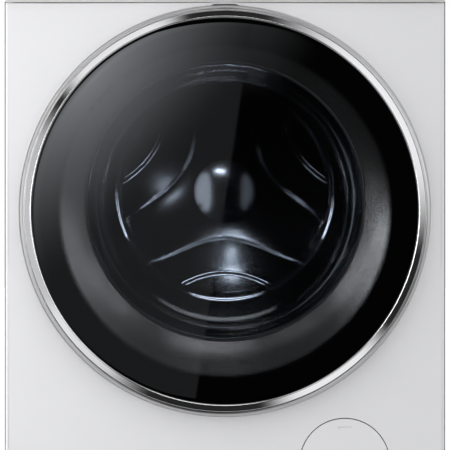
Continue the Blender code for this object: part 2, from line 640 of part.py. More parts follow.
def lifter(name, bearing):
    """A tapered paddle folded from sheet that stands on the drum wall, open towards it."""
    wall, sheet = DRUM_RADIUS - 0.0030, 0.0020
    stations = [(-0.190, 0.28), (-0.165, 0.80), (-0.100, 1.00), (0.060, 1.00), (0.115, 0.85), (0.138, 0.45)]
    loops = []
    for depth, share in stations:
        tip = wall - 0.055 * share
        half = [(wall - 0.0025, 0.030), (tip, 0.010)]
        inner = [(wall - 0.0025, 0.030 - 1.3 * sheet), (tip + sheet, 0.010 - 0.7 * sheet)]
        outline = half + [(r, -s) for r, s in half[::-1]] + [(r, -s) for r, s in inner] + inner[::-1]
        loops.append([(r * math.cos(bearing) - s * math.sin(bearing), depth,
                       r * math.sin(bearing) + s * math.cos(bearing)) for r, s in outline])
    points, faces = strips(loops, caps=True)
    mesh_object(name, points, faces, "stainless", (0, 0, DRUM_Z))


def spider_and_shaft():
    """The cast three-armed spider behind the drum, with the shaft cast into its hub."""
    low, high = DRUM_BACK_Y + 0.0060, DRUM_BACK_Y + 0.0230
    spider = turned("drum_spider", [(0, low), (0.036, low), (0.036, high), (0.0150, high + 0.002), (0.0150, 0.2720),
                                    (0, 0.2720)], "cast_aluminium", (0, 0, DRUM_Z), 20)
    for bearing in (90, 210, 330):
        t = math.radians(bearing)
        across = (math.cos(t), math.sin(t))
        side = (-across[1], across[0])
        outline = []
        for along, half in ((0.010, 0.018), (0.236, 0.012), (0.236, -0.012), (0.010, -0.018)):
            outline.append((across[0] * along + side[0] * half, across[1] * along + side[1] * half))
        join(spider, prism(f"spider_arm_{bearing}", outline, low + 0.002, high - 0.003, "cast_aluminium",
                           at=(0, 0, DRUM_Z)))


def drum_pulley():
    low, high, rim, hub, web = PULLEY_Y, PULLEY_Y + PULLEY_WIDTH, DRUM_PULLEY_RADIUS, 0.030, 0.005
    turned("drum_pulley", [(0.0156, low), (rim, low), (rim, high), (rim - 0.010, high), (rim - 0.010, low + web),
                           (hub, low + web), (hub, high), (0.0156, high)], "cast_aluminium", (0, 0, DRUM_Z))


# ---------------------------------------------------------------- drive
def belt_outline(extra):
    """The belt's line round both pulleys, extra further out than the pulleys themselves."""
    big, small = DRUM_PULLEY_RADIUS + extra, MOTOR_PULLEY_RADIUS + extra
    lean = math.degrees(math.asin((big - small) / (DRUM_Z - MOTOR_Z)))
    return arc((0, DRUM_Z), big, -lean, 180 + lean, 41) + arc((0, MOTOR_Z), small, 180 + lean, 360 - lean, 9)


def drive():
    band("drive_belt", belt_outline(0.0034), belt_outline(0.0008), PULLEY_Y + 0.002, PULLEY_Y + PULLEY_WIDTH - 0.002,
         "black_rubber")
    housing = turned("motor_housing", [(0, 0.100), (0.040, 0.100), (0.050, 0.110), (0.050, 0.205), (0.040, 0.218),
                                       (0, 0.218)], "steel", (0, 0, MOTOR_Z), 20)
    mount = box("motor_mount", (-0.040, 0.120, MOTOR_Z + 0.020), (0.040, 0.190, DRUM_Z - TUB_RADIUS - 0.0008), "steel")
    join(housing, mount)
    low, high = PULLEY_Y, PULLEY_Y + PULLEY_WIDTH
    turned("motor_pulley", [(0, 0.2185), (0.0060, 0.2185), (0.0060, low), (MOTOR_PULLEY_RADIUS, low),
                            (MOTOR_PULLEY_RADIUS, high), (0, high)], "steel", (0, 0, MOTOR_Z), 16)


# ---------------------------------------------------------------- water, drain and power
def drain():
    at = (FLAP_X, 0, FLAP_Z)
    turned("pump_housing", [
        (0.0285, -0.2625), (0.0375, -0.2625), (0.0375, -0.1900), (0.0330, -0.1800), (0.0330, -0.1250), (0.0280, -0.1200),
        (0, -0.1200), (0, -0.1850), (0.0285, -0.1850)], "tub_plastic", at, 20)
    cap = turned("pump_filter_cap", [
        (0, -0.2680), (0.0300, -0.2680), (0.0340, -0.2670), (0.0340, -0.2630), (0.0270, -0.2630), (0.0270, -0.1920),
        (0, -0.1920)], "dark_plastic", at, 20)
    join(cap, box("cap_grip", (FLAP_X - 0.026, -0.2810, FLAP_Z - 0.004), (FLAP_X + 0.026, -0.2660, FLAP_Z + 0.004),
                  "dark_plastic"))
    flap = turned("filter_flap", [(0, PANEL_Y), (FLAP_RADIUS - 0.0005, PANEL_Y), (FLAP_RADIUS, PANEL_Y + 0.0005),
                                  (FLAP_RADIUS, PANEL_Y + 0.0030), (0, PANEL_Y + 0.0030)], "white_plastic", at, DRUM_SIDES)
    cut(flap, box("flap_slot", (FLAP_X - 0.0092, PANEL_Y - 0.01, FLAP_Z + 0.0478),
                  (FLAP_X + 0.0092, PANEL_Y + 0.0015, FLAP_Z + 0.0498), "white_plastic"))
    start, end = (0.060, -0.120, 0.2195), (0.1290, -0.150, 0.1250)
    bend = [(0.060, -0.120, 0.190), (0.061, -0.121, 0.168), (0.066, -0.125, 0.150), (0.077, -0.131, 0.136),
            (0.092, -0.138, 0.128), (0.110, -0.145, 0.1252)]
    tube("sump_hose", [start, *bend, end], 0.014, "black_rubber", 3)


def rear_services():
    valve = turned("inlet_valve", [(0, -0.040), (0.0180, -0.040), (0.0180, -0.004), (0.0130, -0.004), (0.0130, 0.021),
                                   (0.0080, 0.021), (0.0080, 0.010), (0, 0.010)], "white_plastic",
                   (-0.22, REAR_Y, 0.79), 16)
    join(valve, box("valve_coil", (-0.245, REAR_Y - 0.070, 0.772), (-0.195, REAR_Y - 0.036, 0.808), "white_plastic"))
    turned("drain_spigot", [(0.0080, -0.040), (0.0110, -0.040), (0.0110, 0.021), (0.0080, 0.021)], "dark_plastic",
           (0.22, REAR_Y, 0.79), 16)
    turned("cable_gland", [(0.0040, -0.012), (0.0075, -0.012), (0.0075, 0.0006), (0.0120, 0.0006), (0.0095, 0.010),
                           (0.0040, 0.010)], "dark_plastic", (0.22, REAR_Y, 0.12), 16)


def pivot(name, at, pieces):
    """An empty on a joint's axis, with the pieces that turn about it."""
    axis = bpy.data.objects.new(name, None)
    axis.location = at
    axis.empty_display_size = 0.03
    bpy.context.scene.collection.objects.link(axis)
    for piece in pieces:
        moving = bpy.data.objects[piece]
        moving.parent = axis
        moving.matrix_parent_inverse = Matrix.Translation(at).inverted()


def pivots():
    """The axes of the moving pieces whose own origins lie elsewhere."""
    rings = ["chrome_ring", "outer_frame", "rear_frame", "inner_bezel", "glass_cover", "bowl", "hinge_arm"]
    pivot("door_axis", (HINGE_X, HINGE_Y, DOOR_Z), [f"door_{ring}" for ring in rings] + ["latch_hook"])
    pivot("flap_axis", (FLAP_X, FLAP_HINGE_Y, FLAP_HINGE_Z), ["filter_flap"])
    pivot("drawer_slide", (DRAWER_LEFT, PANEL_Y, DRAWER_LOW), ["drawer_front", "drawer_tray"])


def build():
    clear_scene()
    side_panel("left_side_panel", -1)
    side_panel("right_side_panel", 1)
    rear_panel()
    base()
    front_panel()
    worktop()
    control_panel()
    drawer()
    door()
    hinge()
    latch()
    door_seal()
    tub()
    suspension()
    drum()
    drive()
    drain()
    rear_services()
    pivots()


build()
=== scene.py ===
"""The looks of the front load washing machine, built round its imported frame. Metres, +Z up, the front faces -Y."""

import json
import math

import bmesh
import bpy
from mathutils import Matrix, Vector

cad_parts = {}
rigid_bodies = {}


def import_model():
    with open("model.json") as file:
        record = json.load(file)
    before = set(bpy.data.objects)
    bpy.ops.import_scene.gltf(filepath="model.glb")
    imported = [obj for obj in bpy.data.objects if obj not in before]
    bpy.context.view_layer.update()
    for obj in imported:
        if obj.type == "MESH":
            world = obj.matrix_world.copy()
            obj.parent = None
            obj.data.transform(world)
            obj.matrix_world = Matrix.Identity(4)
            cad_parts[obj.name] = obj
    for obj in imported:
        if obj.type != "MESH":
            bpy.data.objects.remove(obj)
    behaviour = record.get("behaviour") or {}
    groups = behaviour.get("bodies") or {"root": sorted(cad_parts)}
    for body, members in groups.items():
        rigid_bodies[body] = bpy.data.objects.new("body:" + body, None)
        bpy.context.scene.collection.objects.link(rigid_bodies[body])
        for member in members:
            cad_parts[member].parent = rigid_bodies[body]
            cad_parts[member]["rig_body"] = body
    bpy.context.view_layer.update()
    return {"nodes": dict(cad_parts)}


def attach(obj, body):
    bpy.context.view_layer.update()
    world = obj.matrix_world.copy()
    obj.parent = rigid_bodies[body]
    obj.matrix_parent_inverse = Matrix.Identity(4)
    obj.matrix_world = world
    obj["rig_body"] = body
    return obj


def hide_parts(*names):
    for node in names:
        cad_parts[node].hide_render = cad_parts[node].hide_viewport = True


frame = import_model()

# ---------------------------------------------------------------- dimensions shared by several pieces
HALF = 0.3
FRONT_Y = -0.33
PANEL_Y = -0.29
FASCIA_Y = -0.3
REAR_Y = 0.309
RECESS_Y = -0.285
DOOR_Z = 0.448
WINDOW_Z = 0.4615
DRUM_Z = 0.477
PANEL_LOW, PANEL_HIGH = 0.0145, 0.7335
CONTROL_Z = 0.7815
DRUM_BACK_Y = 0.15
SHEET_LOW, SHEET_HIGH = 0.0235, 0.8275
BUTTON_X = 0.262
SIDES = 192


# ---------------------------------------------------------------- small helpers for node trees
def node(tree, kind, inputs=None, **settings):
    made = tree.nodes.new(kind)
    for key, value in settings.items():
        setattr(made, key, value)
    for key, value in (inputs or {}).items():
        if isinstance(value, bpy.types.NodeSocket):
            tree.links.new(value, made.inputs[key])
        else:
            made.inputs[key].default_value = value
    return made


def calc(tree, operation, a, b=0.0):
    return node(tree, "ShaderNodeMath", {0: a, 1: b}, operation=operation).outputs[0]


def plus(tree, first, *others):
    for other in others:
        first = calc(tree, "ADD", first, other)
    return first


def times(tree, first, *others):
    for other in others:
        first = calc(tree, "MULTIPLY", first, other)
    return first


def distance(tree, a, b):
    return calc(tree, "SQRT", plus(tree, times(tree, a, a), times(tree, b, b)))


def ramp_to(tree, value, low, high, start=0.0, end=1.0, kind="SMOOTHSTEP"):
    """value mapped from low..high to start..end, eased at both ends unless kind is LINEAR."""
    inputs = {0: value, 1: low, 2: high, 3: start, 4: end}
    return node(tree, "ShaderNodeMapRange", inputs, interpolation_type=kind).outputs[0]


def noise(tree, where, scale, detail=3.0):
    return node(tree, "ShaderNodeTexNoise", {"Vector": where, "Scale": scale, "Detail": detail}).outputs["Fac"]


def mixed(tree, factor, a, b):
    return node(tree, "ShaderNodeMix", {0: factor, 6: a, 7: b}, data_type="RGBA").outputs[2]


def along(tree, where, bearing):
    """How far a place or way reaches towards a bearing, in degrees anticlockwise from the right."""
    t = math.radians(bearing)
    inputs = {0: where, 1: (math.cos(t), 0, math.sin(t))}
    return node(tree, "ShaderNodeVectorMath", inputs, operation="DOT_PRODUCT").outputs["Value"]


def shade(colour, times_as_bright):
    return (*[min(c * times_as_bright, 1.0) for c in colour], 1.0)


def place(tree):
    return node(tree, "ShaderNodeTexCoord").outputs["Object"]


def split(tree, where):
    return node(tree, "ShaderNodeSeparateXYZ", {0: where}).outputs


def turned(tree):
    """Coordinates that follow the turning marks of a piece turned on its own Y axis."""
    x, y, z = split(tree, place(tree))
    turn = times(tree, calc(tree, "ARCTAN2", z, x), 0.004)
    return node(tree, "ShaderNodeCombineXYZ", {0: distance(tree, x, z), 1: y, 2: turn}).outputs[0]


# ---------------------------------------------------------------- materials
def new_material(name):
    made = bpy.data.materials.new(name)
    made.use_nodes = True
    return made, made.node_tree, made.node_tree.nodes["Principled BSDF"]


def shows(tree, shader):
    """Makes shader the surface, in place of the one that a new material comes with."""
    tree.nodes.remove(tree.nodes["Principled BSDF"])
    tree.links.new(shader, tree.nodes["Material Output"].inputs["Surface"])


def finish(name, colour, rough, metallic=0.0, vary=0.04, blotch=14.0, grain=900.0, bump=0.00004,
           rough_vary=0.05, marks=False, cells=0.0, **shader):
    """A material with mottled colour, uneven gloss and a fine surface relief."""
    made, tree, surface = new_material(name)
    where = turned(tree) if marks else place(tree)
    patch = noise(tree, place(tree), blotch, 4.0)
    if cells:
        cell = node(tree, "ShaderNodeTexVoronoi", {"Vector": place(tree), "Scale": cells, "Randomness": 1.0})
        tone = node(tree, "ShaderNodeSeparateColor", {0: cell.outputs["Color"]}).outputs[0]
        patch = plus(tree, times(tree, tone, 0.7), times(tree, patch, 0.3))
    fine = noise(tree, where, grain, 2.0)
    tint = plus(tree, times(tree, patch, 0.75), times(tree, fine, 0.25))
    base = mixed(tree, ramp_to(tree, tint, 0.25, 0.75), shade(colour, 1 - vary), shade(colour, 1 + vary))
    uneven = plus(tree, times(tree, patch, 0.5), times(tree, fine, 0.5))
    gloss = ramp_to(tree, uneven, 0.3, 0.7, max(rough - rough_vary, 0.02), min(rough + rough_vary, 1.0))
    relief = node(tree, "ShaderNodeBump", {"Height": fine, "Distance": bump, "Strength": 1.0}).outputs[0]
    for key, value in (("Base Color", base), ("Roughness", gloss), ("Normal", relief)):
        tree.links.new(value, surface.inputs[key])
    surface.inputs["Metallic"].default_value = metallic
    for key, value in shader.items():
        surface.inputs[key.replace("_", " ")].default_value = value
    return made


def see_through(name, tint, shine=1.5, printed=None, rough=0.0, mirror=1.0):
    """Clear or smoked glass. printed = (inner radius, outer radius) fades into a black print towards the edge."""
    made, tree, _ = new_material(name)
    streak = noise(tree, place(tree), 6.0, 4.0)
    body = mixed(tree, streak, shade(tint, 0.97), shade(tint, 1.03))
    clear = node(tree, "ShaderNodeBsdfTransparent", {"Color": body}).outputs[0]
    if printed:
        x, _, z = split(tree, place(tree))
        ink = mixed(tree, streak, (0.0005, 0.0005, 0.0005, 1), (0.0009, 0.0009, 0.001, 1))
        black = node(tree, "ShaderNodeBsdfDiffuse", {"Color": ink}).outputs[0]
        share = ramp_to(tree, distance(tree, x, z), *printed)
        clear = node(tree, "ShaderNodeMixShader", {0: share, 1: clear, 2: black}).outputs[0]
    wave = noise(tree, place(tree), 5.0, 1.0)
    relief = node(tree, "ShaderNodeBump", {"Height": wave, "Distance": 0.00002, "Strength": 1.0}).outputs[0]
    smudge = ramp_to(tree, noise(tree, place(tree), 18.0, 5.0), 0.35, 0.75, rough, rough + 0.03)
    mirrored = {"Color": shade((1, 1, 1), mirror), "Roughness": smudge, "Normal": relief}
    gloss = node(tree, "ShaderNodeBsdfGlossy", mirrored).outputs[0]
    angle = node(tree, "ShaderNodeFresnel", {"IOR": shine}).outputs[0]
    shows(tree, node(tree, "ShaderNodeMixShader", {0: angle, 1: clear, 2: gloss}).outputs[0])
    return made


def drum_steel(name, rough):
    return finish(name, (0.26, 0.275, 0.3), rough, 1.0, vary=0.05, grain=2000, bump=0.000003, rough_vary=0.02,
                  marks=True)


PRINTED = (0.219, 0.23)
MATERIALS = {
    "white_enamel": finish("enamel", (0.825, 0.825, 0.835), 0.34, vary=0.006, grain=700, bump=0.000012,
                           Coat_Weight=0.25, Coat_Roughness=0.15),
    "white_plastic": finish("white moulding", (0.82, 0.82, 0.825), 0.42, vary=0.01, grain=2600, bump=0.00002),
    "worktop_board": finish("worktop laminate", (0.8, 0.8, 0.81), 0.45, vary=0.012, grain=1700),
    "galvanised": finish("galvanised sheet", (0.5, 0.51, 0.52), 0.42, 0.9, vary=0.045, grain=300,
                         bump=0.00002, cells=110.0),
    "chrome": finish("chrome", (0.86, 0.86, 0.87), 0.07, 1.0, vary=0.01, grain=500, bump=0.000002,
                     rough_vary=0.02),
    "satin_silver": finish("satin silver", (0.56, 0.56, 0.56), 0.34, 1.0, vary=0.03, grain=3200,
                           bump=0.000006, marks=True),
    "smoked_glass": see_through("smoked glass", (0.6, 0.61, 0.63), printed=PRINTED),
    "clear_glass": see_through("clear glass", (0.93, 0.95, 0.97), shine=1.09, rough=0.1, mirror=0.5),
    "grey_plastic": finish("grey bezel", (0.3, 0.3, 0.295), 0.2, 0.92, vary=0.03, grain=1500, bump=0.000004),
    "dark_plastic": finish("dark moulding", (0.03, 0.031, 0.034), 0.45, vary=0.12, grain=2400, bump=0.00003),
    "grey_rubber": finish("seal rubber", (0.045, 0.046, 0.05), 0.48, vary=0.15, grain=700),
    "black_rubber": finish("black rubber", (0.018, 0.018, 0.019), 0.62, vary=0.2, grain=900, bump=0.00006),
    "stainless": drum_steel("drum steel", 0.14),
    "tub_plastic": finish("tub moulding", (0.55, 0.56, 0.55), 0.5, vary=0.05, grain=1400),
    "concrete": finish("concrete", (0.36, 0.35, 0.335), 0.88, vary=0.22, blotch=60, grain=420, bump=0.0006),
    "cast_aluminium": finish("cast aluminium", (0.55, 0.55, 0.56), 0.48, 0.95, vary=0.07, bump=0.00008),
    "motor_metal": finish("motor shell", (0.4, 0.4, 0.41), 0.42, 0.9, vary=0.06, grain=500, bump=0.00003),
    "steel": finish("zinc plated steel", (0.46, 0.46, 0.45), 0.32, 1.0, vary=0.08, grain=1200, bump=0.00001),
}


# ---------------------------------------------------------------- building pieces
def in_scene(name, data, at=(0, 0, 0)):
    made = bpy.data.objects.new(name, data)
    made.location = at
    bpy.context.scene.collection.objects.link(made)
    return made


def even_shading(made, sharp=35):
    made.data.set_sharp_from_angle(angle=math.radians(sharp))
    made.modifiers.new("even shading", "WEIGHTED_NORMAL").keep_sharp = True


def thicken(made, thickness):
    step = made.modifiers.new("thickness", "SOLIDIFY")
    step.thickness = thickness
    step.offset = -1


def piece(shape, name, slot, body, cad, at=(0, 0, 0), sharp=35, thickness=None, turn=None):
    """Turns a bmesh into a smooth-shaded piece that rides on a body and stands for the CAD node named cad."""
    mesh = bpy.data.meshes.new(name)
    shape.to_mesh(mesh)
    shape.free()
    if turn is not None:
        mesh.transform(turn)
    mesh.shade_smooth()
    mesh.materials.append(MATERIALS[slot])
    made = in_scene(name, mesh, at)
    if thickness is not None:
        thicken(made, thickness)
    even_shading(made, sharp)
    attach(made, body)
    if cad:
        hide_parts(cad)
    return made


def clean(shape):
    bmesh.ops.remove_doubles(shape, verts=shape.verts, dist=1e-7)
    bmesh.ops.recalc_face_normals(shape, faces=shape.faces)


def object_from(name, points, faces, slot, at=(0, 0, 0), sharp=35, body="cabinet", cad=None, turn=None):
    shape = bmesh.new()
    corners = [shape.verts.new(p) for p in points]
    for face in faces:
        shape.faces.new([corners[i] for i in face])
    if turn is not None:
        shape.transform(turn)
    clean(shape)
    return piece(shape, name, slot, body, cad, at, sharp)


def three(section):
    return [(p[0], p[1], p[2] if len(p) > 2 else 0.0) for p in section]


def soften(section, size, steps=4, closed=True):
    """Rounds the corners of a section by up to size, which is one number or one for each corner."""
    section = three(section)
    count = len(section)
    sizes = size if isinstance(size, (list, tuple)) else [size] * count
    out = []
    for i, corner in enumerate(section):
        here = Vector(corner)
        open_end = not closed and i in (0, count - 1)
        if sizes[i] <= 0 or open_end:
            out.append(tuple(here))
            continue
        a, b = Vector(section[i - 1]) - here, Vector(section[(i + 1) % count]) - here
        cut = min(sizes[i], 0.48 * a.length, 0.48 * b.length)
        start, end = here + a.normalized() * cut, here + b.normalized() * cut
        for k in range(steps + 1):
            t = k / steps
            out.append(tuple(start * (1 - t) ** 2 + here * 2 * t * (1 - t) + end * t * t))
    return out


def bearings(count):
    return [2 * math.pi * i / count for i in range(count)]


def round_outline(cx, cz, radius, sides=96):
    return [(cx + radius * math.cos(t), cz + radius * math.sin(t)) for t in bearings(sides)]


def rounded_box(x0, z0, x1, z1, radius, steps=6):
    """A rectangle with round corners, anticlockwise as seen from the front."""
    out = []
    for cx, cz, first in ((x1 - radius, z0 + radius, -90), (x1 - radius, z1 - radius, 0),
                          (x0 + radius, z1 - radius, 90), (x0 + radius, z0 + radius, 180)):
        for k in range(steps + 1):
            t = math.radians(first + 90 * k / steps)
            out.append((cx + radius * math.cos(t), cz + radius * math.sin(t)))
    return out


def strips(loops, closed=False, caps=False):
    """Joins loops of points, or single end points, into one skin."""
    points, starts = [], []
    for loop in loops:
        starts.append((len(points), len(loop)))
        points.extend(loop)
    faces = []
    for (a, count_a), (b, count_b) in zip(starts, starts[1:] + (starts[:1] if closed else [])):
        count = max(count_a, count_b)
        for i in range(count if count > 1 else 0):
            j = (i + 1) % count
            if count_a == 1:
                faces.append((a, b + i, b + j))
            elif count_b == 1:
                faces.append((a + i, b, a + j))
            else:
                faces.append((a + i, b + i, b + j, a + j))
    if caps:
        for start, count in (starts[0], starts[-1]):
            faces.append(tuple(range(start, start + count)))
    return points, faces


def lathe(name, section, slot, at=(0, 0, 0), sides=SIDES, body="cabinet", cad=None, axis="Y", soft=0.0,
          steps=4, sharp=35):
    """A turned piece. Its section of (radius, y, rise) points is closed, or begins and ends on the axis."""
    solid = section[0][0] == 0 and section[-1][0] == 0
    if soft:
        section = soften(section, soft, steps, closed=not solid)
    loops = []
    for radius, y, rise in three(section):
        outline = round_outline(0, rise, radius, sides) if radius else [(0.0, rise)]
        loops.append([(x, z, y) if axis == "Z" else (x, y, z) for x, z in outline])
    points, faces = strips(loops, closed=not solid)
    return object_from(name, points, faces, slot, at, sharp, body, cad)


def offset(outline, distance):
    """A closed outline of (a, b) points moved to its left side by distance."""
    moved = []
    count = len(outline)
    for i, here in enumerate(outline):
        normals = []
        for p, q in ((outline[i - 1], here), (here, outline[(i + 1) % count])):
            dx, dy = q[0] - p[0], q[1] - p[1]
            length = math.hypot(dx, dy)
            if length > 1e-9:
                normals.append((-dy / length, dx / length))
        nx, ny = (sum(n[k] for n in normals) / len(normals) for k in (0, 1))
        share = distance / (nx * nx + ny * ny)
        moved.append((here[0] + nx * share, here[1] + ny * share))
    return moved


def plate(name, outer, holes, front, edge, back, slot, body="cabinet", cad=None, thickness=None,
          hole_edge=None, floors=(), turn=None):
    """A pressed or moulded plate facing -Y: a flat face at y = front with a rounded rim of size edge down to
    y = back. holes go through; floors are (outline, depth, edge) dishes pressed into the face. With a thickness
    it is a sheet open at the back, without one it is solid."""
    shape = bmesh.new()
    turns = [math.pi / 2 * k / 5 for k in range(6)]

    def ring(outline, y):
        return [shape.verts.new((a, y, b)) for a, b in outline]

    def bridge(rings):
        for one, two in zip(rings, rings[1:]):
            for i in range(len(one)):
                j = (i + 1) % len(one)
                shape.faces.new((one[i], two[i], two[j], one[j]))

    def rim(outline, size, end):
        """A rounded edge from the face down to y = end. Gives its first and last rings."""
        rings = [ring(offset(outline, size * (1 - math.sin(a))), front + size * (1 - math.cos(a))) for a in turns]
        if end - front > size + 1e-6:
            rings.append(ring(outline, end))
        bridge(rings)
        return rings[0], rings[-1]

    def fill(rings, direction):
        edges = []
        for one in rings:
            for pair in zip(one, one[1:] + one[:1]):
                edges.append(shape.edges.get(pair) or shape.edges.new(pair))
        before = set(shape.faces)
        bmesh.ops.triangle_fill(shape, use_beauty=True, use_dissolve=False, edges=edges,
                                normal=Vector((0, direction, 0)))
        flat = [f for f in shape.faces if f not in before]
        bmesh.ops.join_triangles(shape, faces=flat, angle_face_threshold=0.1, angle_shape_threshold=0.6)

    rims = [rim(outer, edge, back)] + [rim(hole[::-1], hole_edge or edge, back) for hole in holes]
    face_rings = [first for first, _ in rims]
    for outline, depth, size in floors:
        first, last = rim(outline[::-1], size, front + depth - size)
        # the dish's inner rings run the other way round from its rim
        rings = [last[::-1]]
        for a in turns[1:]:
            y = front + depth - size * (1 - math.sin(a))
            rings.append(ring(offset(outline, size * (1 - math.cos(a))), y))
        bridge(rings)
        face_rings.append(first)
        fill([rings[-1]], -1)
    fill(face_rings, -1)
    if thickness is None:
        fill([last for _, last in rims], 1)
    clean(shape)
    if thickness is not None and max(shape.faces, key=lambda f: f.calc_area()).normal.y > 0:
        bmesh.ops.reverse_faces(shape, faces=shape.faces)
    return piece(shape, name, slot, body, cad, thickness=thickness, turn=turn)


def block(low, high):
    """A box to cut with."""
    mesh = bpy.data.meshes.new("tool")
    points = [(x, y, z) for x in (low[0], high[0]) for y in (low[1], high[1]) for z in (low[2], high[2])]
    mesh.from_pydata(points, [], [(0, 1, 3, 2), (4, 6, 7, 5), (0, 4, 5, 1), (2, 3, 7, 6), (0, 2, 6, 4), (1, 5, 7, 3)])
    return in_scene("tool", mesh)


def carve(target, *tools):
    """Cuts tools out of target for good, and removes them."""
    target.modifiers.clear()
    for tool in tools:
        step = target.modifiers.new("cut", "BOOLEAN")
        step.solver = "EXACT"
        step.object = tool
    bpy.context.view_layer.update()
    graph = bpy.context.evaluated_depsgraph_get()
    old, cut = target.data, bpy.data.meshes.new_from_object(target.evaluated_get(graph))
    target.modifiers.clear()
    target.data = cut
    bpy.data.meshes.remove(old)
    for tool in tools:
        bpy.data.objects.remove(tool)
    even_shading(target)


# ---------------------------------------------------------------- door
DOOR_AT = (0, 0, DOOR_Z)
RISE = WINDOW_Z - DOOR_Z


def glass_depth(radius):
    return FRONT_Y + 0.0022 * (radius / 0.2626) ** 2


def door_part(name, section, slot, cad, soft, at=DOOR_AT):
    return lathe(name, section, slot, at, 256, "door", cad, soft=soft)


def door():
    door_part("chrome_ring", [
        (0.2632, -0.3288), (0.2641, -0.3293), (0.2654, -0.3283), (0.2715, -0.3247), (0.2722, -0.3238),
        (0.2723, -0.3195), (0.2632, -0.3195)],
        "chrome", "door_chrome_ring", [0.0003, 0.0005, 0.001, 0.0012, 0.0006, 0.0003, 0.0003])
    outer = door_part("outer_frame", [
        (0.2729, -0.3206), (0.2736, -0.3209), (0.2755, -0.3195), (0.2776, -0.3155), (0.2788, -0.3105),
        (0.2789, -0.3065), (0.2785, -0.3035), (0.2728, -0.2915)],
        "satin_silver", "door_outer_frame", [0.0002, 0.0003, 0.002, 0.002, 0.002, 0.001, 0.001, 0.0003])
    notch(outer)
    radii = [0.0, 0.03, 0.06, 0.09, 0.12, 0.14, 0.16, 0.18, 0.2, 0.22, 0.235, 0.25, 0.259]
    thick = 0.0035
    front = [(r, glass_depth(r)) for r in radii]
    back = [(r, y + thick) for r, y in front[::-1]]
    (reach, near), rim = front[-1], 0.2626
    edge = soften([(reach, near), (rim, near + 0.0003), (rim, near + thick), (reach, near + thick)],
                  [0, 0.0012, 0.0006, 0], closed=False)
    glass = door_part("glass_cover", front + edge[1:-1] + back, "smoked_glass", "door_glass_cover", 0)
    inside = see_through("smoked glass inner face", (0.95, 0.95, 0.95), shine=1.12, printed=PRINTED)
    glass.data.materials.append(inside)
    for face in glass.data.polygons:
        if face.normal.y > 0.5:
            face.material_index = 1
    door_part("inner_bezel", [
        (0.1895, -0.3035, RISE), (0.1905, -0.305, RISE), (0.206, -0.3115, 0.8 * RISE), (0.232, -0.322),
        (0.235, -0.322), (0.235, -0.293), (0.2325, -0.293), (0.2325, -0.319), (0.1905, -0.3008, RISE),
        (0.1895, -0.3008, RISE)],
        "grey_plastic", "door_inner_bezel",
        [0.0006, 0.002, 0.008, 0.0015, 0.001, 0.0005, 0.0005, 0.001, 0.001, 0.0005])
    rear = door_part("rear_frame", [
        (0.2715, -0.319), (0.2715, -0.2905), (0.27, -0.289), (0.215, -0.289, 0.4 * RISE),
        (0.213, -0.2895, 0.4 * RISE), (0.211, -0.289, 0.4 * RISE), (0.1895, -0.289, RISE),
        (0.1895, -0.2925, RISE), (0.2685, -0.2925), (0.2685, -0.319)],
        "white_plastic", "door_rear_frame", 0.0008)
    notch(rear)
    carve(rear, block((0.2405, -0.3, DOOR_Z - 0.005), (0.256, -0.28, DOOR_Z + 0.005)))
    door_part("bowl", [
        (0, -0.1905), (0.06, -0.1911), (0.11, -0.1924), (0.135, -0.194), (0.149, -0.202), (0.156, -0.213),
        (0.16, -0.22), (0.164, -0.229), (0.1655, -0.234), (0.169, -0.24), (0.1725, -0.252), (0.176, -0.268),
        (0.178, -0.274), (0.179, -0.281), (0.183, -0.2985), (0.1995, -0.2985), (0.1995, -0.2945),
        (0.1868, -0.2938), (0.1815, -0.274), (0.1745, -0.243), (0.166, -0.22), (0.158, -0.2025),
        (0.15, -0.1935), (0.138, -0.189), (0.06, -0.1861), (0, -0.1855)],
        "clear_glass", "door_bowl",
        [0, 0, 0.01, 0.008, 0.006, 0.002, 0.002, 0.002, 0.001, 0.002, 0.003, 0.002, 0.001, 0.002, 0.002, 0.001,
         0.001, 0.002, 0.004, 0.004, 0.004, 0.004, 0.004, 0.006, 0, 0], (0, 0, WINDOW_Z))


def notch(target):
    """Room at the back of the door for the fixed hinge lugs."""
    x, y, half = -0.2605, -0.3055, 0.007
    lugs = (DOOR_Z - 0.03, DOOR_Z + 0.03)
    carve(target, *[block((x - 0.022, y - 0.0006, z - half), (x + 0.0275, y + 0.03, z + half)) for z in lugs])


